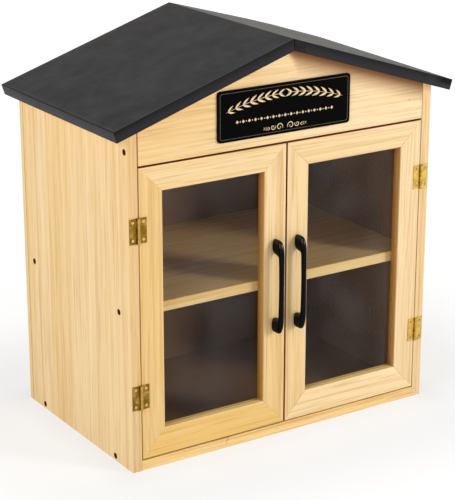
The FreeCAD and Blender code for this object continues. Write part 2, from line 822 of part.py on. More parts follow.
def runs_along_door(edge):
    """The upright and level edges of a door member, and not those of its mitres."""
    box = edge.BoundBox
    return box.YLength < 0.01 and min(box.XLength, box.ZLength) < 0.01


for member, (start, end, drills) in MEMBERS.items():
    label = f"left_door_{member}"
    blank = board(
        label + "_blank" if drills else label,
        [OUTER[start], OUTER[end], SIGHT[end], SIGHT[start]],
        "0",
        "door_thickness",
        which=runs_along_door,
    )
    rebate_sketch = new_sketch(blank, "XZ_Plane", f"-{REBATE_FRONT}")
    draw_loop(rebate_sketch, around_sight("rebate_width"))
    pocket(blank, rebate_sketch, "rebate_depth")
    keep_pair(drilled(label, blank, drills) if drills else blank)

pane_outline = around_sight("(rebate_width - pane_clearance)")
keep_pair(slab("left_door_pane", [pane_outline], REBATE_FRONT, "pane_thickness"))

low_left, _, high_right, _ = around_sight("(rebate_width - bead_clearance)")
bead_left, bead_low = low_left
bead_right, bead_high = high_right
side_bead_low = f"({SIGHT_BOTTOM} + bead_clearance)"
side_bead_high = f"({SIGHT_TOP} - bead_clearance)"
keep_pair(
    slab(
        "left_door_glazing_beads",
        [
            rectangle(bead_left, bead_low, bead_right, SIGHT_BOTTOM),
            rectangle(bead_left, SIGHT_TOP, bead_right, bead_high),
            rectangle(bead_left, side_bead_low, SIGHT_LEFT, side_bead_high),
            rectangle(SIGHT_RIGHT, side_bead_low, bead_right, side_bead_high),
        ],
        f"({REBATE_FRONT} + pane_thickness)",
        "rebate_depth - pane_thickness",
    )
)

strike_outline = rectangle(
    f"({STRIKE_X} - strike_width / 2)",
    f"({CATCH_MIDDLE} - strike_height / 2)",
    f"({STRIKE_X} + strike_width / 2)",
    f"({CATCH_MIDDLE} + strike_height / 2)",
)
strike_blank = slab("left_door_strike_blank", [strike_outline], "door_thickness", "strike_thickness")
keep_pair(drilled("left_door_strike_plate", strike_blank, [strike_drill]))

# Handle: a bowed bar on two feet. Its side view has the door's face at X = 0 and the front at -X.

HALF_HANDLE = "(handle_length / 2)"
FOOT_INNER = "(handle_length / 2 - handle_foot)"
BOW_RADIUS = f"(({HALF_HANDLE} ^ 2 + handle_bow ^ 2) / (2 * handle_bow))"


def arc(sketch, x, y, radius, low, high):
    """An arc about a place, between two angles in degrees."""
    circle = Part.Circle(Vector(x, y, 0), Vector(0, 0, 1), radius)
    return sketch.addGeometry(
        Part.ArcOfCircle(circle, math.radians(low), math.radians(high)), False
    )


def draw_handle(sketch):
    """Draws the upper and the lower end near their places, and lets the tangents settle them."""
    half, foot = number(HALF_HANDLE), number(FOOT_INNER)
    reach, bar = number("handle_reach"), number("handle_bar_depth")
    corner, inner_corner = number("handle_corner"), number("handle_inner_corner")
    bow = number(BOW_RADIUS)
    centre = bow - reach
    spread = math.degrees(math.asin((half - corner) / (bow - corner)))
    outer_bow = arc(sketch, centre, 0, bow, 180 - spread, 180 + spread)
    inner_spread = math.degrees(math.asin((foot - inner_corner) / (bow - bar)))
    inner_bow = arc(sketch, centre, 0, bow - bar, 180 - inner_spread, 180 + inner_spread)
    for edge, radius in ((outer_bow, BOW_RADIUS), (inner_bow, f"({BOW_RADIUS} - handle_bar_depth)")):
        tie(sketch, "Radius", edge, to=radius)
        tie_point(sketch, edge, 3, f"({BOW_RADIUS} - handle_reach)", "0")
    for side in (1, -1):
        minus = "" if side > 0 else "-"
        turn = (90, 180) if side > 0 else (180, 270)
        foot_end, bow_end = (1, 2) if side > 0 else (2, 1)
        outer = arc(sketch, corner - reach + 1, side * (half - corner), corner, *turn)
        inner = arc(
            sketch, bar - reach + inner_corner, side * (foot - inner_corner), inner_corner, *turn
        )
        tie(sketch, "Radius", outer, to="handle_corner")
        tie(sketch, "Radius", inner, to="handle_inner_corner")
        end_line = sketch.addGeometry(
            Part.LineSegment(Vector(0, side * half, 0), Vector(corner - reach, side * half, 0)), False
        )
        base_line = sketch.addGeometry(
            Part.LineSegment(Vector(0, side * foot, 0), Vector(0, side * half, 0)), False
        )
        inner_line = sketch.addGeometry(
            Part.LineSegment(
                Vector(0, side * foot, 0), Vector(bar - reach + inner_corner, side * foot, 0)
            ),
            False,
        )
        tie_point(sketch, base_line, 1, "0", f"{minus}{FOOT_INNER}")
        tie_point(sketch, base_line, 2, "0", f"{minus}{HALF_HANDLE}")
        for constraint in (
            ("Coincident", end_line, 1, base_line, 2),
            ("Coincident", inner_line, 1, base_line, 1),
            ("Horizontal", end_line),
            ("Horizontal", inner_line),
            ("Tangent", end_line, 2, outer, foot_end),
            ("Tangent", inner_line, 2, inner, foot_end),
            ("Tangent", outer, bow_end, outer_bow, foot_end),
            ("Tangent", inner, bow_end, inner_bow, foot_end),
        ):
            sketch.addConstraint(Sketcher.Constraint(*constraint))


handle_blank = new_body("left_door_handle_blank", x=HANDLE_X, z=HANDLE_Z)
handle_sketch = new_sketch(handle_blank, "YZ_Plane")
draw_handle(handle_sketch)
pad(handle_blank, handle_sketch, "handle_width", symmetric=True)
handle_back = number(FRONT)


def is_held_edge(edge):
    """The long edges of the handle's two flanks, without those on the door's face."""
    box = edge.BoundBox
    return box.XLength < 0.01 and box.YMin < handle_back - 0.01


round_edges(handle_blank, edges_where(handle_blank.Shape, is_held_edge), "handle_round")
keep_pair(drilled("left_door_handle", handle_blank, [handle_drill]))

# Hinges, in a frame at the middle of the pin's axis. The leaves lie on the wood's front faces.

KNUCKLES = 5
KNUCKLE_HEIGHT = f"((hinge_height - {KNUCKLES - 1} * knuckle_gap) / {KNUCKLES})"
WOOD_FACE = "(barrel_radius + barrel_gap)"
HALF_HINGE = "(hinge_height / 2)"


def circle_sketch(body, radius, level):
    sketch = new_sketch(body, "XY_Plane", level)
    draw_circle(sketch, "0", "0", radius)
    return sketch


def hinge_leaf(label, side, levels, bore, middle, drills):
    """A leaf with its knuckles. The side is the sign of X where the plate lies."""
    body = new_body(label + "_blank", x=HINGE_X, depth=HINGE_DEPTH, z=middle)
    plate_face = f"({WOOD_FACE} - leaf_thickness)"
    plate_sketch = new_sketch(body, "XY_Plane")
    draw_loop(
        plate_sketch,
        rectangle(f"{side}{WOOD_FACE}", plate_face, f"{side}hinge_leaf_width", WOOD_FACE),
    )
    pad(body, plate_sketch, "hinge_height", symmetric=True)
    for level in levels:
        bottom = f"({level} * ({KNUCKLE_HEIGHT} + knuckle_gap) - {KNUCKLE_HEIGHT} / 2)"
        pad(body, circle_sketch(body, "barrel_radius", bottom), KNUCKLE_HEIGHT)
        wrap_sketch = new_sketch(body, "XY_Plane", bottom)
        wrap_face = f"({WOOD_FACE} - leaf_lift)"
        wrap_end = f"{side}({WOOD_FACE} + leaf_thickness)"
        draw_loop(
            wrap_sketch, rectangle("0", f"({wrap_face} - leaf_thickness)", wrap_end, wrap_face)
        )
        pad(body, wrap_sketch, KNUCKLE_HEIGHT)
    pocket(body, circle_sketch(body, bore, HALF_HINGE), "hinge_height")
    keep_pair(drilled(label, body, drills))


def hinge_pin(label, middle):
    body = new_body(label, x=HINGE_X, depth=HINGE_DEPTH, z=middle)
    pad(body, circle_sketch(body, "pin_radius", "0"), "hinge_height", symmetric=True)
    pad(body, circle_sketch(body, "pin_end_radius", HALF_HINGE), "pin_end")
    pad(body, circle_sketch(body, "pin_end_radius", f"(-{HALF_HINGE} - pin_end)"), "pin_end")
    keep_pair(body)


for height, middle in (("upper", UPPER_HINGE), ("lower", LOWER_HINGE)):
    seat = "(pin_radius + pin_seat_clearance)"
    hinge_leaf(f"left_{height}_hinge_frame_leaf", "-", (-2, 0, 2), seat, middle, [frame_hinge_drill])
    slip = "(pin_radius + pin_running_clearance)"
    hinge_leaf(f"left_{height}_hinge_door_leaf", "", (-1, 1), slip, middle, [door_hinge_drill])
    hinge_pin(f"left_{height}_hinge_pin", middle)

# Nothing is written unless every object was made and every piece is sound

doc.recompute()
failed = [item.Name for item in doc.Objects if {"Invalid", "Error"} & set(item.State)]
if failed:
    raise RuntimeError(f"objects that failed: {failed}")
for label, item in nodes.items():
    if item.Shape.isNull() or not item.Shape.isValid() or not item.Shape.Solids:
        raise RuntimeError(f"{label} has no sound shape")
os.makedirs("parts", exist_ok=True)
for label, item in nodes.items():
    item.Shape.exportStep(f"parts/{label}.step")
print(len(nodes), "pieces written")
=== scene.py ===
"""Looks of a street book exchange box: a varnished pine cabinet with two glazed doors.

The packed model holds every piece at its place. This script gives each piece its finish, makes the roof
covering, the cast handles and the gilt ornament of the sign, and sets up the floor, the light and the
camera.
"""

import math
from dataclasses import dataclass

import bmesh
import bpy
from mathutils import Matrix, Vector


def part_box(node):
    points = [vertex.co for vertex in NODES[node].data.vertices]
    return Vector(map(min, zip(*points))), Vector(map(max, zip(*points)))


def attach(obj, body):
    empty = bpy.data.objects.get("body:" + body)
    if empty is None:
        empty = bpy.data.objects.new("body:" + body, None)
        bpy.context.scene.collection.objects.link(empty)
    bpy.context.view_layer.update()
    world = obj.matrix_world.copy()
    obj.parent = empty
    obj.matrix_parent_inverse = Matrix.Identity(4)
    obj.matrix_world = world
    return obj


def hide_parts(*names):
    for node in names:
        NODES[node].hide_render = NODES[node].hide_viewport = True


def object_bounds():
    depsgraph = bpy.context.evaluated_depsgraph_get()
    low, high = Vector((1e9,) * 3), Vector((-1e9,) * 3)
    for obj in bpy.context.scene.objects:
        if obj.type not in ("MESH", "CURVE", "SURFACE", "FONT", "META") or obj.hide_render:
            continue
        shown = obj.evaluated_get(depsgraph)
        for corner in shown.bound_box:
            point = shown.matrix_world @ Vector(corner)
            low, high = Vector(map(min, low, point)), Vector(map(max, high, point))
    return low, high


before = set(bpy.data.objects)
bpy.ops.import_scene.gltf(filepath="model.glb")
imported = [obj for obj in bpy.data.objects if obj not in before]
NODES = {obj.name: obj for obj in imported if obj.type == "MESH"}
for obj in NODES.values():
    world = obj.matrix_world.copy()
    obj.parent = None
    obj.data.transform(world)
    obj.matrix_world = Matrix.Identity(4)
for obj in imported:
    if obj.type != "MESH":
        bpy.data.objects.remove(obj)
cad_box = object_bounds()

bl_info = {
    "name": "Street book exchange box",
    "version": (1, 0, 0),
    "blender": (4, 5, 0),
    "location": "3D View > Sidebar > Book Box",
    "description": "Finishes, roof covering, handles, sign ornament and stage of a street book box",
    "category": "Object",
}

MM = 0.001
X, Y, Z = 0, 1, 2
# The way along X to each side
SIDES = {"left": -1, "right": 1}
# The front face of the boards and the doors
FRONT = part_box("base_board")[0].y
# About how deep the roof is, straight down through its covering and boards
ROOF_DEPTH = 19.7 * MM
# Corners of a packed mesh that are nearer to each other than this are one corner
WELD = 0.01 * MM
# Sockets of the Mix node where it mixes colours
MIX_SHARE, MIX_FIRST, MIX_SECOND, MIX_RESULT = 0, 6, 7, 2


class Wire:
    """One output of a material's nodes. Arithmetic on it adds Math nodes to the same material."""

    def __init__(self, finish, socket):
        self.finish = finish
        self.socket = socket

    def __add__(self, other):
        return self.finish.math("ADD", self, other)

    def __radd__(self, other):
        return self.finish.math("ADD", other, self)

    def __sub__(self, other):
        return self.finish.math("SUBTRACT", self, other)

    def __rsub__(self, other):
        return self.finish.math("SUBTRACT", other, self)

    def __mul__(self, other):
        return self.finish.math("MULTIPLY", self, other)

    def __truediv__(self, other):
        return self.finish.math("DIVIDE", self, other)


class Finish:
    """A material in the making, with short ways to add the nodes that wood, paint and metal need."""

    def __init__(self, name):
        self.material = bpy.data.materials.new(name)
        self.material.use_nodes = True
        self.tree = self.material.node_tree
        self.tree.nodes.clear()

    def node(self, kind, settings=(), inputs=(), output=0):
        """Adds a node: its settings first, then the values or wires of its sockets."""
        made = self.tree.nodes.new(kind)
        for name, value in dict(settings).items():
            setattr(made, name, value)
        for key, value in dict(inputs).items():
            socket = made.inputs[key]
            if isinstance(value, Wire):
                self.tree.links.new(value.socket, socket)
            else:
                socket.default_value = value
        return Wire(self, made.outputs[output])

    def math(self, operation, *values):
        """The result of a Math node."""
        return self.node("ShaderNodeMath", {"operation": operation}, enumerate(values))

    def place(self):
        """The point being shaded, in the piece's own space, in metres."""
        return self.node("ShaderNodeTexCoord", output="Object")

    def facing(self):
        """The direction that the surface faces, in the piece's own space, as three wires."""
        return self.split(self.node("ShaderNodeTexCoord", output="Normal"))

    def split(self, vector):
        """The three parts of a vector."""
        made = self.node("ShaderNodeSeparateXYZ", inputs={0: vector})
        return [Wire(self, output) for output in made.socket.node.outputs]

    def join(self, x, y, z):
        """A vector from its three parts."""
        return self.node("ShaderNodeCombineXYZ", inputs={0: x, 1: y, 2: z})

    def noise(self, vector, detail=2.0, roughness=0.5, scale=1.0):
        """Cloudy noise from 0 to 1, with about scale clouds for each unit of the vector."""
        inputs = {"Vector": vector, "Scale": scale, "Detail": detail, "Roughness": roughness}
        return self.node("ShaderNodeTexNoise", inputs=inputs)

    def dice(self, value):
        """A random number from 0 to 1 for each whole number."""
        return self.node("ShaderNodeTexWhiteNoise", {"noise_dimensions": "1D"}, {"W": value})

    def rise(self, value, low, high, top=1.0):
        """A soft step that goes from 0 at low to top at high."""
        inputs = {"Value": value, "From Min": low, "From Max": high, "To Min": 0.0, "To Max": top}
        return self.node("ShaderNodeMapRange", {"interpolation_type": "SMOOTHSTEP"}, inputs)

    def along(self, vector, direction):
        """How far a vector goes in a direction."""
        settings = {"operation": "DOT_PRODUCT"}
        return self.node("ShaderNodeVectorMath", settings, {0: vector, 1: direction}, "Value")

    def distance(self, vector, point):
        """How far a vector is from a point."""
        settings = {"operation": "DISTANCE"}
        return self.node("ShaderNodeVectorMath", settings, {0: vector, 1: point}, "Value")

    def flattened(self, vector, axis):
        """The vector with one of its parts made 0."""
        keep = tuple(float(each != axis) for each in (X, Y, Z))
        return self.node("ShaderNodeVectorMath", {"operation": "MULTIPLY"}, {0: vector, 1: keep})

    def blend(self, share, first, second):
        """A colour on its way from the first, where share is 0, to the second, where it is 1."""
        first, second = (each if isinstance(each, Wire) else (*each, 1.0) for each in (first, second))
        inputs = {MIX_SHARE: share, MIX_FIRST: first, MIX_SECOND: second}
        return self.node("ShaderNodeMix", {"data_type": "RGBA"}, inputs, MIX_RESULT)

    def bump(self, height, distance, strength=1.0):
        """A normal from a height between 0 and 1 that stands for a distance in metres."""
        inputs = {"Height": height, "Distance": distance, "Strength": strength}
        return self.node("ShaderNodeBump", inputs=inputs)

    def surface(self, **values):
        """Ends the material with a Principled shader. A socket's name has _ for each space."""
        inputs = {}
        for name, value in values.items():
            if isinstance(value, tuple):
                value = (*value, 1.0)
            inputs[name.replace("_", " ")] = value
        return self.end(self.node("ShaderNodeBsdfPrincipled", inputs=inputs))

    def end(self, shader):
        """Makes a shader the material's surface, and gives the material."""
        output = self.tree.nodes.new("ShaderNodeOutputMaterial")
        self.tree.links.new(shader.socket, output.inputs["Surface"])
        return self.material


def shade(red, green, blue):
    """A colour from the 0 to 255 values of a paint chart, as the linear numbers that shaders use."""

    def linear(value):
        value /= 255
        return value / 12.92 if value <= 0.04045 else ((value + 0.055) / 1.055) ** 2.4

    return tuple(linear(value) for value in (red, green, blue))


def scaled(colour, factor):
    """A colour made lighter or darker by a factor."""
    return tuple(min(value * factor, 1.0) for value in colour)


def hue(default, name, description):
    """A colour that a user may change."""
    return bpy.props.FloatVectorProperty(
        name=name, description=description, default=default, subtype="COLOR", min=0.0, max=1.0, size=3
    )


def length(millimetres, name, description):
    """A length that a user may change."""
    return bpy.props.FloatProperty(
        name=name, description=description, default=millimetres * MM, unit="LENGTH", min=0.0, precision=5
    )


def amount(default, name, description, unit="NONE"):
    """A strength, power or angle that a user may change."""
    return bpy.props.FloatProperty(name=name, description=description, default=default, unit=unit)


class WoodLooks(bpy.types.PropertyGroup):
    """Pine"""

    pale: hue(shade(234, 208, 163), "Pale", "Palest tone of the varnished pine")
    honey: hue(shade(219, 176, 92), "Honey", "Deepest yellow tone of the boards")
    blush: hue(shade(230, 194, 150), "Blush", "Pinker clouds in the wood")
    late: hue(shade(190, 138, 70), "Latewood", "Lines of the growth rings")
    # Partly painted shade: the jamb colour is the deeper tone of edge grain round the glass and in some
    # gaps, with painted shade that grows back from the front
    jamb: hue(shade(176, 116, 50), "Jamb", "Edges next to the glass, and lighter gaps")
    # Painted shade: the gap colour darkens the faces inside the gaps between pieces; it also draws the glue
    # lines, knots and screw stains
    gap: hue(shade(136, 64, 22), "Gap", "Edges where the varnish has pooled in the gaps between pieces")
    # Painted light: the sill colour lightens the faces that look up under the glass
    sill_light: hue(shade(255, 220, 146), "Sill", "Faces that look up under the glass")
    # Painted shade: the inside colour darkens the faces inside the cabinet, where shade falls
    inside: hue(shade(114, 78, 56), "Inside", "Faces inside the cabinet")
    sawn: hue(shade(196, 150, 92), "End grain", "Sawn ends of the boards")
    # Painted shade: the eaves colour stands in for the shadow that the roof casts on the gable
    eaves: hue(shade(122, 74, 10), "Eaves", "Stained wood close under the right half of the roof")
    ring: length(8.0, "Ring spacing", "Distance from one growth ring to the next")
    strip: length(38.0, "Strip width", "Mean width of the strips that wide boards are glued up from")
    burn: length(5.5, "Screw stain", "Radius of the dark stain round each screw in the sides")


class RoofLooks(bpy.types.PropertyGroup):
    """Roof covering"""

    top: hue(shade(65, 64, 65), "Top", "Upper faces of the roof covering")
    edge: hue(shade(25, 23, 26), "Edge", "Folded edges of the roof covering")
    # Painted shade: the fold colour darkens the rounded folds and the lap at the ridge
    fold: hue(shade(8, 8, 9), "Fold", "Rounded folds of the roof covering")
    dust: hue(shade(250, 244, 234), "Dust", "Haze that shows on the roof at a low angle")
    haze: amount(0.22, "Haze", "Strength of the haze on the roof")
    lift: length(9.0, "Lift", "Rise of the covering at its rear right corner")


class MetalLooks(bpy.types.PropertyGroup):
    """Fittings"""

    brass: hue(shade(216, 178, 92), "Brass", "Bright part of the hinge leaves")
    tarnish: hue(shade(122, 89, 24), "Tarnish", "Dulled part of the hinge leaves")
    steel: hue(shade(206, 200, 186), "Steel", "Screws, magnets and strike plates")
    screw: hue(shade(204, 180, 124), "Hinge screws", "Plated screws in the hinge leaves")
    enamel: hue(shade(5, 5, 6), "Enamel", "Black handles")
    black: hue(shade(26, 14, 11), "Blacking", "Blacked screws in the sides")


class SignLooks(bpy.types.PropertyGroup):
    """Sign"""

    ground: hue(shade(4, 4, 4), "Ground", "Face of the sign plate")
    gilt: hue(shade(226, 200, 152), "Gilt", "Ornament on the sign plate")
    line: hue(shade(106, 92, 72), "Line", "Border line of the sign plate")
    relief: length(0.2, "Relief", "Height of the ornament above the plate")
    inset: length(4.6, "Border inset", "Edge of the plate to the border line")
    line_width: length(0.6, "Border width", "Width of the border line")


class StageLooks(bpy.types.PropertyGroup):
    """Stage"""

    floor: hue((0.35, 0.35, 0.35), "Floor", "Colour of the floor")
    glow: amount(0.9, "Glow", "Light that the floor gives off")
    sky: amount(0.28, "Sky", "Strength of the even light")
    key: amount(131.0, "Key", "Power of the key lamp", "POWER")
    fill: amount(84.0, "Fill", "Power of the fill lamp", "POWER")
    stand: bpy.props.FloatVectorProperty(
        name="Stand", description="Where the camera is", default=(-1.5335, -2.3704, 1.23), unit="LENGTH"
    )
    azimuth: amount(math.radians(-32.97), "Azimuth", "Camera's turn", "ROTATION")
    elevation: amount(math.radians(18.62), "Elevation", "Camera's tilt", "ROTATION")
    lens: amount(121.72, "Lens", "Focal length, in millimetres", "CAMERA")


GROUPS = {
    "box_wood": WoodLooks,
    "box_roof": RoofLooks,
    "box_metal": MetalLooks,
    "box_sign": SignLooks,
    "box_stage": StageLooks,
}


def paint(material, *names):
    """Gives CAD pieces a finish."""
    for name in names:
        data = NODES[name].data
        data.materials.clear()
        data.materials.append(material)


def packed_mesh(name):
    """A bmesh of a CAD piece, with the corners that its faces share made one."""
    mesh = bmesh.new()
    mesh.from_mesh(NODES[name].data)
    bmesh.ops.remove_doubles(mesh, verts=mesh.verts, dist=WELD)
    return mesh


def roof_fall():
    """About how far the roof falls for each metre from its ridge."""
    low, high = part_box("roof_covering")
    return (high.z - low.z - ROOF_DEPTH) / high.x


def island_centres(name):
    """The middle of each separate solid of a piece."""
    mesh = packed_mesh(name)
    waiting = set(mesh.verts)
    centres = []
    while waiting:
        group = [waiting.pop()]
        for vertex in group:
            for edge in vertex.link_edges:
                other = edge.other_vert(vertex)
                if other in waiting:
                    waiting.remove(other)
                    group.append(other)
        low = [min(v.co[axis] for v in group) for axis in (X, Y, Z)]
        high = [max(v.co[axis] for v in group) for axis in (X, Y, Z)]
        centres.append(tuple((a + b) / 2 for a, b in zip(low, high)))
    mesh.free()
    return sorted(centres)


@dataclass
class Board:
    """How one pine board is sawn and finished.

    The grain runs along one axis, and across is the axis of the board's width. seed sets its grain apart
    from that of the other boards. tone is the wood's tone at the board's two ends, from 0, pale, to 1,
    honey. strips says that the board is glued up. bright lightens the whole board, and edge darkens its
    front. inside, gap and jamb list the faces that are inside the cabinet, in a gap beside another piece,
    or round the glass, each by its axis and direction; inside and gap paint shade on them, and jamb a
    deeper edge tone with painted shade. The next field says that faces of it look up under the glass,
    which get painted light. lines and knots are marks on the front, and screws names the node of the
    screws that stain its side. The last field paints a brown shadow on it close under the roof.
    """

    name: str
    along: int
    across: int
    seed: float
    tone: tuple = (0.5, 0.5)
    strips: bool = False
    bright: float = 1.0
    edge: float = 0.0
    inside: tuple = ()
    gap: tuple = ()
    jamb: tuple = ()
    sill_light: bool = False
    lines: tuple = ()
    knots: tuple = ()
    screws: str = ""
    shadow_under_roof: bool = False


def pine(board, looks):
    """Varnished pine. The growth rings are drawn about a pith that lies beside the board."""
    wood = Finish("pine_" + board.name)
    seed = board.seed
    place = wood.place()
    parts = wood.split(place)
    through = X + Y + Z - board.along - board.across
    run, side, depth = parts[board.along], parts[board.across], parts[through]
    low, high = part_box(board.name)
    first, last = board.tone
    tone = wood.rise(run, low[board.along], high[board.along], last - first) + first
    if board.strips:
        # Strips of uneven width, each cut from another place in the log
        wobble = wood.math("SINE", side * (2.3 / looks.strip) + seed)
        strip = wood.math("FLOOR", side / looks.strip + wobble * 0.4 + seed)
        luck = wood.dice(strip)
        side = side + luck * 0.4
        run = run + luck * 2.0
        tone = tone + (luck - 0.5) * 0.14
    # The numbers inside join are clouds to the metre: few along the grain, and many across it
    wander = wood.noise(wood.join(run * 2.6 + seed, side * 11.0, depth * 11.0))
    pith_side = side + (wander - 0.5) * (60 * MM) + 20 * MM * math.sin(seed * 3)
    pith_depth = depth + 50 * MM + 30 * MM * math.cos(seed * 5)
    radius = wood.math("SQRT", pith_side * pith_side + pith_depth * pith_depth)
    cloud = wood.noise(wood.join(run * 2.0, side * 14.0, depth * 14.0 + seed))
    streak = wood.noise(wood.join(run * 1.3, side * 100.0, depth * 100.0 - seed), detail=3.0, roughness=0.7)
    fibre = wood.noise(wood.join(run * 5.0, side * 200.0, depth * 200.0), detail=3.0, roughness=0.7)
    # Each ring darkens slowly and ends sharply
    turn = wood.math("FRACT", radius / looks.ring + streak * 2.5)
    late = wood.rise(turn, 0.3, 0.9) * wood.rise(turn, 1.0, 0.92)
    vivid = wood.rise(cloud, 0.38, 0.7) * 0.75 + 0.25

    # Pale to honey, then pinker clouds, darker streaks, the rings and the fibres
    share = tone + (streak - 0.5) * 0.7 + (cloud - 0.5) * 0.2
    pale, honey = (scaled(colour, board.bright) for colour in (looks.pale, looks.honey))
    colour = wood.blend(wood.rise(share, 0.0, 1.0), pale, honey)
    pink = wood.noise(wood.join(run * 3.1, side * 24.0 + seed, depth * 24.0), detail=1.0)
    colour = wood.blend(wood.rise(pink, 0.52, 0.8, 0.25), colour, looks.blush)
    colour = wood.blend(wood.rise(streak, 0.52, 0.75, 0.4), colour, looks.late)
    colour = wood.blend(late * vivid * 0.28, colour, looks.late)
    colour = wood.blend(wood.rise(fibre, 0.5, 0.75, 0.65), colour, looks.late)
    colour = faces(wood, board, looks, colour, parts[Y])
    colour = marks(wood, board, looks, colour, place)
    return wood.surface(
        Base_Color=colour,
        Roughness=0.42 + fibre * 0.14 - late * 0.04,
        Specular_IOR_Level=0.3,
        Normal=wood.bump(late * 0.3 + fibre * 0.7, 0.2 * MM, 0.5),
    )


def faces(wood, board, looks, colour, y):
    """Tones the sawn ends of a board, paints shade on its faces inside, in gaps and round the glass, and
    paints light on its faces that look up under the glass.
    """
    facing = wood.facing()

    def turned(axis, way, most):
        """most on the faces that look along an axis, way being 1 or -1, and 0 on the others."""
        return wood.rise(facing[axis], 0.3 * way, 0.65 * way, most)

    end = wood.rise(wood.math("ABSOLUTE", facing[board.along]), 0.75, 0.95, 0.7)
    colour = wood.blend(end, colour, looks.sawn)
    if board.edge:
        colour = wood.blend(turned(Y, -1, board.edge), colour, looks.late)
    # Each tint grows from nothing at start to its most at full, both measured back from the front. Each is
    # painted shade where shade falls: the gap and inside tints wholly, the jamb tint over the deeper tone of
    # edge grain
    for ways, tint, start, full, most in (
        (board.jamb, looks.jamb, -4 * MM, 6 * MM, 0.9),
        (board.gap, looks.gap, -5 * MM, 1 * MM, 0.95),
        (board.inside, looks.inside, 15 * MM, 25 * MM, 0.9),
    ):
        for axis, way in ways:
            share = turned(axis, way, most) * wood.rise(y, FRONT + start, FRONT + full)
            colour = wood.blend(share, colour, tint)
    # Painted light on the faces that look up under the glass
    if board.sill_light:
        colour = wood.blend(turned(Z, 1, 0.8), colour, looks.sill_light)
    return colour


def marks(wood, board, looks, colour, place):
    """Adds glue lines, small knots, the stain round each screw and a painted shadow under the roof."""
    for start, end, share in board.lines:
        colour = wood.blend(glue_line(wood, place, start, end, share), colour, looks.gap)
    for x0, z0, radius, share in board.knots:
        off = wood.distance(wood.flattened(place, Y), (x0, 0, z0))
        colour = wood.blend(wood.rise(off, radius, 0.3 * radius, share), colour, looks.gap)
    if board.screws:
        colour = wood.blend(screw_stains(wood, place, board.screws, looks.burn), colour, looks.gap)
    # Painted shadow close under the roof
    if board.shadow_under_roof:
        colour = wood.blend(painted_eaves_shadow(wood, place), colour, looks.eaves)
    return colour


def glue_line(wood, place, start, end, share):
    """A fine line on the front, as strong as share at its start and gone at its end."""
    (x0, z0), (x1, z1) = start, end
    reach = math.hypot(x1 - x0, z1 - z0)
    way_x, way_z = (x1 - x0) / reach, (z1 - z0) / reach
    off = wood.along(place, (way_z, 0, -way_x)) - (x0 * way_z - z0 * way_x)
    run = wood.along(place, (way_x, 0, way_z)) - (x0 * way_x + z0 * way_z)
    line = wood.rise(wood.math("ABSOLUTE", off), 0.9 * MM, 0.15 * MM, share)
    within = wood.rise(run, -1.0 * MM, 0.0) * wood.rise(run, reach, 0.3 * reach)
    return line * within


def screw_stains(wood, place, screws, radius):
    """A dark spot round each screw in a side board."""
    flank = wood.flattened(place, X)
    nearest = 1.0
    for _, y0, z0 in island_centres(screws):
        nearest = wood.math("MINIMUM", nearest, wood.distance(flank, (0, y0, z0)))
    return wood.rise(nearest, radius * 1.06, radius * 0.94, 0.92)


def painted_eaves_shadow(wood, place):
    """A painted shadow along the underside of the roof, narrow under its left half and broad under its
    right.
    """
    x, _, z = wood.split(place)
    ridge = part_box("roof_covering")[1].z
    below = ridge - ROOF_DEPTH - wood.math("ABSOLUTE", x) * roof_fall() - z
    reach = wood.rise(x, -8 * MM, 25 * MM, 36 * MM) + 6 * MM
    return wood.rise(below / reach, 1.0, 0.0, 0.97)


class BOX_OT_cabinet(bpy.types.Operator):
    """Varnishes the boards of the cabinet, the shelf and the roof"""

    bl_idname = "book_box.cabinet"
    bl_label = "Varnish the cabinet"

    def execute(self, context):
        # The scarf joint's line: its two ends in X and Z, and how strong it is
        scarf = ((-112.9 * MM, 20.2 * MM), (-122.9 * MM, 0.5 * MM), 0.8)
        # The small knot: its place in X and Z, its radius, and how dark it is
        pin_knot = (252.9 * MM, 554.7 * MM, 1.6 * MM, 0.8)
        boards = [
            Board(
                "left_side_board", Z, Y, 1.4, (0.4, 0.45), strips=True, edge=0.25,
                inside=((X, 1),), screws="left_side_screws",
            ),
            Board(
                "right_side_board", Z, Y, 2.9, (0.4, 0.4), strips=True, edge=0.1,
                inside=((X, -1),), screws="right_side_screws",
            ),
            Board("back_board", Z, X, 4.1, strips=True, inside=((Y, -1),)),
            Board(
                "base_board", X, Y, 5.3, (0.55, 0.5), strips=True, bright=1.13,
                inside=((Z, 1),), lines=(scarf,),
            ),
            Board("shelf", X, Y, 7.9, (0.6, 0.5), strips=True),
            Board("left_roof_board", Y, X, 8.8, strips=True),
            Board("right_roof_board", Y, X, 9.9, strips=True),
            Board(
                "gable_board", X, Z, 6.7, (0.55, 0.0), gap=((X, -1), (Z, -1)),
                knots=(pin_knot,), shadow_under_roof=True,
            ),
        ]
        for board in boards:
            paint(pine(board, context.scene.box_wood), board.name)
        return {"FINISHED"}


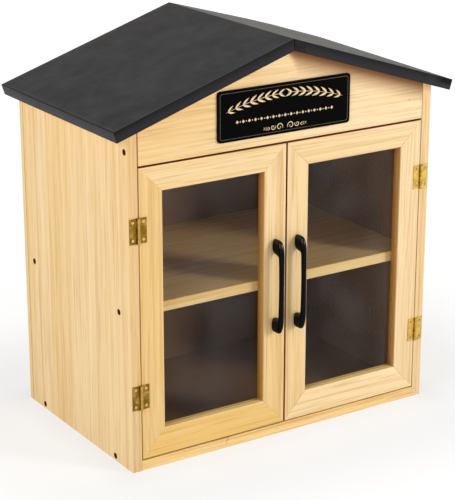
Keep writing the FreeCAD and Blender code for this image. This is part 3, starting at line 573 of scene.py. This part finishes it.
class BOX_OT_doors(bpy.types.Operator):
    """Varnishes the door frames and glazes them"""

    bl_idname = "book_box.doors"
    bl_label = "Finish the doors"

    def execute(self, context):
        looks = context.scene.box_wood
        # The tones of each door's top rail, bottom rail, hinge stile and meeting stile, how strong the glue
        # lines of its mitres are, and the faces of its bottom rail that are toned as a jamb, as painted
        # shade in the gap under it
        for side, tones, glue, under in (
            ("left", ((0.45, 0.35), (0.8, 0.7), (0.6, 0.55), (0.5, 0.3)), 0.15, ((Z, -1),)),
            ("right", ((0.35, 0.25), (0.3, 0.25), (0.25, 0.15), (0.45, 0.35)), 0.35, ()),
        ):
            way = SIDES[side]
            door = side + "_door"
            top, bottom, hinge, meeting = (
                f"{door}_{member}" for member in ("top_rail", "bottom_rail", "hinge_stile", "meeting_stile")
            )
            seed = 20 + 5 * way
            boards = [
                Board(top, X, Z, seed, tones[0], gap=((Z, 1),), jamb=((Z, -1),)),
                Board(bottom, X, Z, seed + 1.2, tones[1], bright=1.07, jamb=under, sill_light=True),
                Board(hinge, Z, X, seed + 2.3, tones[2], jamb=((X, way), (X, -way))),
                Board(meeting, Z, X, seed + 3.1, tones[3], gap=((X, -way),), jamb=((X, way),)),
            ]
            for board in boards:
                board.lines = self.mitres(board.name, (top, bottom), (hinge, meeting), glue)
                paint(pine(board, looks), board.name)
            beads = f"{door}_glazing_beads"
            edges = ((X, 1), (X, -1), (Z, -1))
            paint(pine(Board(beads, Z, X, seed + 4.4, (0.9, 0.9), jamb=edges, sill_light=True), looks), beads)
            paint(glazing(f"glazing_{side}"), f"{door}_pane")
        return {"FINISHED"}

    @staticmethod
    def mitres(name, rails, stiles, share):
        """The glue lines at the corners of a rail or stile, from the glass outwards."""
        lines = []
        for rail in rails:
            for stile in stiles:
                if name not in (rail, stile):
                    continue
                post_low, post_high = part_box(stile)
                rail_low, rail_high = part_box(rail)
                middle = (rail_low.x + rail_high.x) / 2
                inner_x, outer_x = sorted((post_low.x, post_high.x), key=lambda x: abs(x - middle))
                upper = rail == rails[0]
                inner_z, outer_z = (rail_low.z, rail_high.z) if upper else (rail_high.z, rail_low.z)
                lines.append(((inner_x, inner_z), (outer_x, outer_z), share))
        return tuple(lines)


def glazing(name):
    """A clear pane: what lies behind it shows, under a reflection that grows towards the edge of sight."""
    pane = Finish(name)
    clear = pane.node("ShaderNodeBsdfTransparent", inputs={"Color": (0.97, 0.975, 0.97, 1.0)})
    gloss_inputs = {"Color": (0.92, 0.94, 0.96, 1.0), "Roughness": 0.02}
    gloss = pane.node("ShaderNodeBsdfGlossy", inputs=gloss_inputs)
    slant = pane.node("ShaderNodeLayerWeight", inputs={"Blend": 0.5}, output="Facing")
    smear = pane.noise(pane.place(), detail=3.0, scale=11.0)
    # About 1 % of the light head on, a little smeared, and up to 60 % more at the edge of sight
    share = pane.math("POWER", slant, 5.0) * 0.6 + pane.rise(smear, 0.3, 0.8, 0.012) + 0.006
    return pane.end(pane.node("ShaderNodeMixShader", inputs={0: share, 1: clear, 2: gloss}))


def finished_mesh(name, mesh):
    """A new object in the scene from a bmesh, with its faces turned outwards."""
    bmesh.ops.recalc_face_normals(mesh, faces=mesh.faces)
    data = bpy.data.meshes.new(name)
    mesh.to_mesh(data)
    mesh.free()
    made = bpy.data.objects.new(name, data)
    bpy.context.scene.collection.objects.link(made)
    return made


def smoothed(made, degrees):
    """Shades a piece smoothly, but for its edges sharper than an angle."""
    made.data.shade_smooth()
    made.data.set_sharp_from_angle(angle=math.radians(degrees))
    return made


class BOX_OT_roof(bpy.types.Operator):
    """Makes and finishes the roof covering"""

    bl_idname = "book_box.roof"
    bl_label = "Cover the roof"

    def execute(self, context):
        looks = context.scene.box_roof
        skin = self.covering("roof_skin", "roof_covering", looks.lift)
        skin.data.materials.append(self.felt(looks))
        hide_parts("roof_covering")
        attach(skin, "cabinet")
        return {"FINISHED"}

    @staticmethod
    def covering(name, node, lift):
        """The packed covering with its right half a little lifted towards the rear.

        The lower edge of its side fold leans out there, so that the fold still clears the board.
        """
        low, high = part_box(node)
        deep = high.y - low.y
        mesh = packed_mesh(node)
        bays, rows = 6, 4
        cuts = [((high.x * step / bays, 0, 0), (1, 0, 0)) for step in range(bays)]
        cuts += [((0, low.y + deep * step / rows, 0), (0, 1, 0)) for step in range(1, rows)]
        for point, normal in cuts:
            geometry = [*mesh.verts, *mesh.edges, *mesh.faces]
            bmesh.ops.bisect_plane(mesh, geom=geometry, dist=WELD, plane_co=point, plane_no=normal)
        fall = roof_fall()
        lean = 3 * MM
        fully_lifted, side_fold = 0.6 * high.x, 0.97 * high.x
        for vertex in mesh.verts:
            x, y, z = vertex.co
            if x > 0:
                below = high.z - fall * x - z
                near_top = min(1.0, max(0.0, 1 - below / ROOF_DEPTH))
                rear = (y - low.y) / deep
                risen = z + lift * min(1.0, x / fully_lifted) * rear * near_top
                vertex.co.z = min(risen, high.z)
                if x > side_fold:
                    vertex.co.x = min(x + lean * rear * (1 - near_top), high.x)
        return smoothed(finished_mesh(name, mesh), degrees=12)

    @staticmethod
    def felt(looks):
        """Dark roofing, mottled on top, with painted shade on its folds and the top of its folded edges, and
        a painted highlight along a faint line inside its edges.
        """
        cover = Finish("roof_covering")
        place = cover.place()
        x, y, z = cover.split(place)
        low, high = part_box("roof_covering")
        grit = cover.noise(place, detail=3.0, roughness=0.6, scale=700.0)
        scuff = cover.noise(place, detail=5.0, roughness=0.65, scale=22.0)
        up = cover.facing()[Z]
        flat = cover.rise(up, 0.9, 0.945)
        folded = cover.rise(up, 0.32, 0.42) * (1 - flat)
        from_eaves = high.x - cover.math("ABSOLUTE", x)
        from_edge = cover.math("MINIMUM", from_eaves, y - low.y)
        # Painted highlight: a faint lighter band a few millimetres in from the edges of the top
        crease_highlight = cover.rise(from_edge, 1.5 * MM, 3.0 * MM) * cover.rise(from_edge, 8.0 * MM, 4.0 * MM)
        # The lap at the front of the ridge, 20 mm wide and 8 mm long
        lap = cover.rise(x, -1 * MM, 0.0) * cover.rise(x, 21 * MM, 20 * MM)
        lap = lap * cover.rise(from_edge, 9 * MM, 8 * MM)
        down = high.z - z - cover.math("ABSOLUTE", x) * roof_fall()
        # The scuffs mottle the top, and the painted highlight of the crease lifts it further
        mottle = cover.rise(scuff, 0.25, 0.75) + crease_highlight * 0.5
        worn_and_highlit = cover.blend(mottle, scaled(looks.top, 0.75), scaled(looks.top, 1.4))
        # Painted shade: the folded edges are darkest at the top, just under the fold, and lighter lower down
        shade_down = cover.rise(down, 1 * MM, 16 * MM)
        side = cover.blend(shade_down, scaled(looks.edge, 0.3), scaled(looks.edge, 1.4))
        colour = cover.blend(flat, side, worn_and_highlit)
        # Painted shade on the rounded folds and on the lap
        colour = cover.blend(cover.math("MAXIMUM", folded, lap * 0.7), colour, looks.fold)
        return cover.surface(
            Base_Color=colour,
            Roughness=0.48 + flat * 0.14 + (scuff - 0.5) * 0.2 + (grit - 0.5) * 0.1,
            Specular_IOR_Level=0.13,
            Sheen_Weight=looks.haze,
            Sheen_Roughness=0.3,
            Sheen_Tint=tuple(looks.dust),
            Normal=cover.bump(grit * 0.4 + scuff * 0.6, 0.6 * MM, 0.6),
        )


class BOX_OT_fittings(bpy.types.Operator):
    """Finishes the hinges, the screws and the catch"""

    bl_idname = "book_box.fittings"
    bl_label = "Finish the fittings"

    def execute(self, context):
        looks = context.scene.box_metal
        steel = steel_finish("steel", looks.steel)
        blacked = enamel_finish("blacked_screw", looks.black, roughness=0.6, gloss=0.1)
        # How dull the brass is on each side, how strong the painted highlight on its knuckles is, and how
        # much its screws are lightened or darkened as painted light
        for side, dulled, knuckle_highlight, screw_light in (("left", 0.8, 0.5, 1.3), ("right", 0.25, 0.0, 0.8)):
            brass = brass_finish(f"brass_{side}", looks, dulled, knuckle_highlight)
            plated = steel_finish(f"hinge_screws_{side}", scaled(looks.screw, screw_light))
            for height in ("upper", "lower"):
                hinge = f"{side}_{height}_hinge"
                paint(brass, f"{hinge}_frame_leaf", f"{hinge}_door_leaf", f"{hinge}_pin")
            paint(plated, f"{side}_frame_hinge_screws", f"{side}_door_hinge_screws")
            paint(steel, f"{side}_door_handle_screws", f"{side}_door_strike_screw")
            paint(steel, f"{side}_door_strike_plate")
            paint(blacked, f"{side}_side_screws")
        paint(steel, "back_screws", "roof_screws", "catch_screws", "catch_magnets")
        paint(plastic_finish(), "catch_body")
        return {"FINISHED"}


def brass_finish(name, looks, dulled, knuckle_highlight):
    """Rolled brass sheet. dulled is how much of it has tarnished, and the last argument is how strong a
    painted highlight on the knuckles is.
    """
    brass = Finish(name)
    place = brass.place()
    x, y, z = brass.split(place)
    cloud = brass.noise(place, detail=3.0, roughness=0.6, scale=110.0)
    line = brass.noise(brass.join(x * 2500.0, y * 2500.0, z * 90.0))
    dull = brass.rise(cloud + (dulled - 0.5) * 0.6, 0.2, 0.8)
    # Painted highlight: less tarnish and less roughness on the knuckles in front of the leaves
    dull = dull * (1 - brass.rise(y, FRONT - 2.5 * MM, FRONT - 4 * MM, knuckle_highlight))
    return brass.surface(
        Base_Color=brass.blend(dull, looks.brass, looks.tarnish),
        Metallic=1.0,
        Roughness=0.26 + dull * 0.16 + (line - 0.5) * 0.2,
        Normal=brass.bump(line, 0.04 * MM, 0.4),
    )


def steel_finish(name, colour):
    """Plated steel with faint turning marks."""
    steel = Finish(name)
    mark = steel.noise(steel.place(), scale=900.0)
    tone = steel.blend(mark, colour, scaled(colour, 0.6))
    return steel.surface(Base_Color=tone, Metallic=1.0, Roughness=0.3 + (mark - 0.5) * 0.2)


def enamel_finish(name, colour, roughness, gloss, polish=0.0):
    """Dark enamel with a slight orange peel. polish is the weight of its clear coat where it looks up."""
    enamel = Finish(name)
    place = enamel.place()
    peel = enamel.noise(place, detail=1.0, scale=420.0)
    rub = enamel.noise(place, detail=4.0, roughness=0.6, scale=60.0)
    return enamel.surface(
        Base_Color=enamel.blend(enamel.rise(rub, 0.5, 0.8), colour, scaled(colour, 2.2)),
        Roughness=roughness + (rub - 0.5) * 0.12,
        Specular_IOR_Level=gloss,
        Coat_Weight=enamel.rise(enamel.facing()[Z], 0.08, 0.3, polish),
        Coat_Roughness=0.12,
        Normal=enamel.bump(peel, 0.05 * MM, 0.3),
    )


def plastic_finish():
    """Moulded ivory plastic."""
    plastic = Finish("catch_plastic")
    grain = plastic.noise(plastic.place(), scale=1200.0)
    return plastic.surface(
        Base_Color=plastic.blend(grain, shade(222, 214, 198), shade(206, 198, 180)),
        Roughness=0.45 + grain * 0.12,
        Normal=plastic.bump(grain, 0.04 * MM, 0.4),
    )


# Sections of half a handle, from its end to its middle: the outer point and the inner point, each as
# millimetres out from the door and from the handle's end, half the section's width, and how square it is
HANDLE_SECTIONS = (
    ((0.0, 0.8), (0.0, 24.6), 5.0, 2.4),
    ((2.6, 0.1), (2.6, 26.2), 5.0, 2.4),
    ((8.0, 0.0), (8.0, 27.6), 5.0, 2.4),
    ((14.0, 0.4), (13.0, 29.0), 5.0, 2.4),
    ((18.6, 2.8), (15.8, 31.2), 5.0, 2.4),
    ((21.9, 9.4), (16.8, 34.8), 4.9, 2.5),
    ((23.5, 19.0), (17.2, 40.6), 4.7, 2.8),
    ((23.8, 36.0), (17.6, 50.0), 4.5, 3.4),
    ((23.85, 60.0), (17.9, 64.0), 4.3, 3.6),
    ((23.9, 82.5), (18.0, 82.5), 4.2, 3.6),
)


def between(t, a, b, c, d):
    """A value on a smooth curve through a, b, c and d, from b, where t is 0, to c, where t is 1."""
    bend = (2 * a - 5 * b + 4 * c - d) * t + (3 * b - a - 3 * c + d) * t * t
    return b + 0.5 * t * (c - a + bend)


def curve_through(rows, steps):
    """Rows of numbers on a smooth curve through the given rows, with so many steps from each to the next."""
    held = [rows[0], *rows, rows[-1]]
    made = []
    for window in zip(held, held[1:], held[2:], held[3:]):
        for step in range(steps):
            made.append(tuple(between(step / steps, *numbers) for numbers in zip(*window)))
    return made + [rows[-1]]


def handle_mesh(name, node):
    """A cast bow handle: two domed feet and a slimmer bar, as one skin at the packed handle's place."""
    low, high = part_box(node)
    middle = (low.x + high.x) / 2
    span = (high.z - low.z) / MM
    corners, steps = 24, 4
    upper = curve_through([(*outer, *inner, *rest) for outer, inner, *rest in HANDLE_SECTIONS], steps)
    lower = [(a, span - b, c, span - d, *rest) for a, b, c, d, *rest in reversed(upper[:-1])]
    mesh = bmesh.new()
    rings = []
    for outer_out, outer_down, inner_out, inner_down, width, squareness in upper + lower:
        ring = []
        for corner in range(corners):
            angle = 2 * math.pi * corner / corners
            wide = math.copysign(abs(math.cos(angle)) ** (2 / squareness), math.cos(angle))
            deep = math.copysign(abs(math.sin(angle)) ** (2 / squareness), math.sin(angle))
            out = (outer_out + inner_out) / 2 + (outer_out - inner_out) / 2 * deep
            down = (outer_down + inner_down) / 2 + (outer_down - inner_down) / 2 * deep
            ring.append(mesh.verts.new((middle + width * wide * MM, high.y - out * MM, high.z - down * MM)))
        rings.append(ring)
    for first, second in zip(rings, rings[1:]):
        for corner in range(corners):
            after = (corner + 1) % corners
            mesh.faces.new((first[corner], first[after], second[after], second[corner]))
    mesh.faces.new(rings[0])
    mesh.faces.new(rings[-1])
    return smoothed(finished_mesh(name, mesh), degrees=60)


class BOX_OT_handles(bpy.types.Operator):
    """Makes the two cast handles"""

    bl_idname = "book_box.handles"
    bl_label = "Make the handles"

    def execute(self, context):
        black = context.scene.box_metal.enamel
        enamel = enamel_finish("handle_enamel", black, roughness=0.16, gloss=0.06, polish=0.5)
        for side in SIDES:
            node = f"{side}_door_handle"
            handle = handle_mesh(f"{side}_cast_handle", node)
            handle.data.materials.append(enamel)
            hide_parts(node)
            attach(handle, f"{side}_door")
        return {"FINISHED"}


def stroke(mesh, points, widths, front, relief):
    """A raised line on the sign: a ribbon about the points, in X and Z, standing out by the relief."""
    # How wide the ribbon is at its top, as a share of its width at the plate
    top = 0.8
    rows = []
    for index, (x, z) in enumerate(points):
        before, after = points[max(index - 1, 0)], points[min(index + 1, len(points) - 1)]
        along = Vector((after[0] - before[0], after[1] - before[1])).normalized()
        off = Vector((-along.y, along.x)) * (widths[index] / 2)
        rows.append(
            [
                mesh.verts.new((x + off.x, front, z + off.y)),
                mesh.verts.new((x + off.x * top, front - relief, z + off.y * top)),
                mesh.verts.new((x - off.x * top, front - relief, z - off.y * top)),
                mesh.verts.new((x - off.x, front, z - off.y)),
            ]
        )
    for first, second in zip(rows, rows[1:]):
        for corner in range(len(first)):
            after = (corner + 1) % len(first)
            mesh.faces.new((first[corner], second[corner], second[after], first[after]))
    mesh.faces.new(rows[0])
    mesh.faces.new(rows[-1])


def border_points(width, height, radius, steps=6):
    """A rectangle with round corners about the origin, as a line that ends on its first points again."""
    points = []
    for turn, (way_x, way_z) in enumerate(((1, 1), (-1, 1), (-1, -1), (1, -1))):
        for step in range(steps + 1):
            angle = math.radians(90 * (turn + step / steps))
            x = way_x * (width / 2 - radius) + radius * math.cos(angle)
            z = way_z * (height / 2 - radius) + radius * math.sin(angle)
            points.append((x, z))
    return points + points[:2]


def leaf(start, angle, size, steps=7):
    """The points and widths of one pointed leaf that bends a little."""
    curl, plumpness, tip = 0.22, 0.22, 0.15 * MM
    points, widths = [], []
    for step in range(steps + 1):
        share = step / steps
        bend = angle * (1 - curl * share)
        points.append((start[0] + math.cos(bend) * size * share, start[1] + math.sin(bend) * size * share))
        widths.append(max(size * plumpness * math.sin(math.pi * share ** 0.75), tip))
    return points, widths


def garland(reach, rise, lift, leaf_size, pairs=8):
    """A stem on a shallow arch with leaves in pairs that point to the middle."""
    stem_steps = 24
    # Shares of the reach: where the outermost pair is, and how far the innermost is from it
    outermost, spaced = 0.97, 0.86
    # The angle between a leaf and the stem
    splay = 0.62

    def on_arch(share):
        """A point of the arch: share is 0 at its middle, and 1 or -1 at its ends."""
        return share * reach, lift + rise * (1 - share * share)

    for way in SIDES.values():
        steps = range(stem_steps + 1)
        stem = [on_arch(way * (1 - 0.95 * step / stem_steps)) for step in steps]
        yield stem, [(0.5 + 0.5 * step / stem_steps) * MM for step in steps]
        for pair in range(pairs):
            share = way * (outermost - spaced * pair / (pairs - 1))
            start = on_arch(share)
            slope = math.atan2(-2 * rise * share, reach)
            size = leaf_size * (0.72 + 0.28 * math.sin(math.pi * (pair + 1) / (pairs + 1)))
            for spread in (splay, -splay):
                points, widths = leaf((0, 0), spread, size)
                placed = []
                for along, off in points:
                    along *= -way
                    x = start[0] + along * math.cos(slope) - off * math.sin(slope)
                    z = start[1] + along * math.sin(slope) + off * math.cos(slope)
                    placed.append((x, z))
                yield placed, widths


def lozenge_row(reach, height, count=33):
    """Lozenges and beads in turn, on one level."""
    lozenge, bead, tip = 2.5 * MM, 1.2 * MM, 0.2 * MM
    for index in range(count):
        middle = reach * (2 * index / (count - 1) - 1)
        half = lozenge if index % 2 == 0 else bead
        points = [(middle - half, height), (middle, height), (middle + half, height)]
        yield points, [tip, half * 2.4, tip]


def flourish(height):
    """A pair of scrolls back to back, each with a smaller one and a sprig of leaves beyond it."""
    scroll_steps = 36
    for way in SIDES.values():
        # Where each scroll starts, how large it is, and which way up
        for start, size, turn in ((4.0 * MM, 7.0 * MM, 1), (18.5 * MM, 5.2 * MM, -1)):
            points, widths = [], []
            for step in range(scroll_steps + 1):
                share = step / scroll_steps
                angle = math.pi * (1.15 - 2.5 * share)
                radius = size * (1 - 0.82 * share)
                x = start + size + radius * math.cos(angle) * 0.95
                z = height + turn * (radius * math.sin(angle) * 0.95 - 0.5 * MM)
                points.append((way * x, z))
                widths.append((0.35 + 1.15 * math.sin(math.pi * share ** 0.6)) * MM)
            yield points, widths
        for pair in range(3):
            start = ((30.0 + 4.6 * pair) * MM, height - (1.0 - 0.4 * pair) * MM)
            for spread in (0.8, -0.6):
                points, widths = leaf(start, spread, (5.6 - 0.8 * pair) * MM)
                yield [(way * x, z) for x, z in points], widths


class BOX_OT_sign(bpy.types.Operator):
    """Finishes the sign plate and lays on its border, garland, row of lozenges and flourish"""

    bl_idname = "book_box.sign"
    bl_label = "Gild the sign"

    def execute(self, context):
        looks = context.scene.box_sign
        ground = Finish("sign_ground")
        cloud = ground.noise(ground.place(), detail=3.0, scale=40.0)
        paint(
            ground.surface(
                Base_Color=ground.blend(cloud, looks.ground, scaled(looks.ground, 1.6)),
                Roughness=0.3 + cloud * 0.12,
                Specular_IOR_Level=0.015,
            ),
            "sign_plate",
        )
        low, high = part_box("sign_plate")
        width, height = high.x - low.x, high.z - low.z
        border = border_points(width - 2 * looks.inset, height - 2 * looks.inset, 4 * MM)
        self.lay("sign_border", [(border, [looks.line_width] * len(border))], looks, looks.line)
        ornament = [
            *garland(reach=114 * MM, rise=19 * MM, lift=6 * MM, leaf_size=17 * MM),
            *lozenge_row(reach=93 * MM, height=-11.5 * MM),
            *flourish(height=-29.5 * MM),
        ]
        self.lay("sign_ornament", ornament, looks, looks.gilt)
        return {"FINISHED"}

    @staticmethod
    def lay(name, strokes, looks, colour):
        """Puts raised strokes on the plate's face."""
        low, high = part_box("sign_plate")
        centre_x, centre_z = (low.x + high.x) / 2, (low.z + high.z) / 2
        mesh = bmesh.new()
        for points, widths in strokes:
            placed = [(x + centre_x, z + centre_z) for x, z in points]
            stroke(mesh, placed, widths, low.y, looks.relief)
        made = finished_mesh(name, mesh)
        gilt = Finish(name)
        wear = gilt.noise(gilt.place(), detail=3.0, roughness=0.6, scale=260.0)
        made.data.materials.append(
            gilt.surface(
                Base_Color=gilt.blend(gilt.rise(wear, 0.3, 0.8), colour, scaled(colour, 0.7)),
                Roughness=0.35 + wear * 0.2,
                Metallic=0.2,
            )
        )
        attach(made, "cabinet")


class BOX_OT_stage(bpy.types.Operator):
    """Lays the floor and sets up the light and the camera"""

    bl_idname = "book_box.stage"
    bl_label = "Set the stage"

    def execute(self, context):
        looks = context.scene.box_stage
        scene = context.scene
        scene.view_settings.view_transform = "Standard"
        self.lay_floor(scene, looks)
        self.light(scene, looks)
        self.aim_camera(scene, looks)
        return {"FINISHED"}

    @staticmethod
    def lay_floor(scene, looks):
        """A pale glowing floor with a painted shadow, darker under the cabinet and a little way round it."""
        # Half the floor's width, and how far the eaves stand out past the cabinet's sides
        half, overhang = 14.0, 32 * MM
        data = bpy.data.meshes.new("floor")
        corners = [(-half, -half, 0), (half, -half, 0), (half, half, 0), (-half, half, 0)]
        data.from_pydata(corners, [], [(0, 1, 2, 3)])
        floor = bpy.data.objects.new("floor", data)
        scene.collection.objects.link(floor)
        plain = Finish("floor")
        x, y, _ = plain.split(plain.place())
        high = cad_box[1]
        beside_x = plain.math("MAXIMUM", plain.math("ABSOLUTE", x) - (high.x - overhang), 0.0)
        beside_y = plain.math("MAXIMUM", plain.math("ABSOLUTE", y) - high.y, 0.0)
        beside = plain.math("SQRT", beside_x * beside_x + beside_y * beside_y)
        # Painted shadow: the floor's glow is least beside the cabinet and grows out to 450 mm, then more out
        # to 3.2 m
        painted_shadow_fade = plain.rise(beside, 0.0, 70 * MM, 0.06) + plain.rise(beside, 80 * MM, 450 * MM, 0.16)
        lit = painted_shadow_fade + plain.rise(beside, 0.4, 3.2, 0.2) + 0.7
        data.materials.append(
            plain.surface(
                Base_Color=tuple(looks.floor),
                Roughness=0.7,
                Specular_IOR_Level=0.1,
                Emission_Color=plain.blend(lit, (0.0, 0.0, 0.0), (1.0, 1.0, 1.0)),
                Emission_Strength=looks.glow,
            )
        )

    @staticmethod
    def light(scene, looks):
        """A backdrop that shows white, an even light, and two soft lamps."""
        world = bpy.data.worlds.new("studio")
        world.use_nodes = True
        tree = world.node_tree
        path = tree.nodes.new("ShaderNodeLightPath")
        strength = tree.nodes.new("ShaderNodeMapRange")
        strength.inputs["To Min"].default_value = looks.sky
        tree.links.new(path.outputs["Is Camera Ray"], strength.inputs["Value"])
        background = tree.nodes["Background"]
        background.inputs["Color"].default_value = (1.0, 1.0, 1.0, 1.0)
        tree.links.new(strength.outputs["Result"], background.inputs["Strength"])
        scene.world = world
        middle = Vector((0, 0, 0.35))
        for name, place, width, height, power in (
            ("key", (2.7, -3.9, 1.78), 1.05, 2.25, looks.key),
            ("fill", (-3.6, -1.0, 1.65), 2.5, 2.5, looks.fill),
        ):
            lamp = bpy.data.lights.new(name, "AREA")
            lamp.shape = "RECTANGLE"
            lamp.size = width
            lamp.size_y = height
            lamp.energy = power
            holder = bpy.data.objects.new(name, lamp)
            holder.location = place
            aim = middle - Vector(place)
            holder.rotation_euler = aim.to_track_quat("-Z", "Y").to_euler()
            scene.collection.objects.link(holder)

    @staticmethod
    def aim_camera(scene, looks):
        """A long lens at the front left, a little above the box."""
        data = bpy.data.cameras.new("camera")
        data.lens = looks.lens
        data.sensor_width = 36.0
        data.clip_end = 60.0
        camera = bpy.data.objects.new("camera", data)
        camera.location = looks.stand
        camera.rotation_euler = (math.pi / 2 - looks.elevation, 0, looks.azimuth)
        scene.collection.objects.link(camera)
        scene.camera = camera


OPERATORS = (
    BOX_OT_cabinet,
    BOX_OT_doors,
    BOX_OT_roof,
    BOX_OT_fittings,
    BOX_OT_handles,
    BOX_OT_sign,
    BOX_OT_stage,
)


class BOX_PT_panel(bpy.types.Panel):
    """Lists the box's operators and looks in the sidebar"""

    bl_idname = "BOX_PT_panel"
    bl_label = "Book exchange box"
    bl_space_type = "VIEW_3D"
    bl_region_type = "UI"
    bl_category = "Book Box"

    def draw(self, context):
        for operator in OPERATORS:
            self.layout.operator(operator.bl_idname)
        for name, group in GROUPS.items():
            box = self.layout.box()
            box.label(text=group.__doc__)
            for field in group.__annotations__:
                box.prop(getattr(context.scene, name), field)


def register():
    for group in (*GROUPS.values(), *OPERATORS, BOX_PT_panel):
        bpy.utils.register_class(group)
    for name, group in GROUPS.items():
        setattr(bpy.types.Scene, name, bpy.props.PointerProperty(type=group))


def unregister():
    for name in GROUPS:
        delattr(bpy.types.Scene, name)
    for group in reversed((*GROUPS.values(), *OPERATORS, BOX_PT_panel)):
        bpy.utils.unregister_class(group)


def main():
    register()
    for operator in OPERATORS:
        section, name = operator.bl_idname.split(".")
        getattr(getattr(bpy.ops, section), name)()


if __name__ == "__main__":
    main()
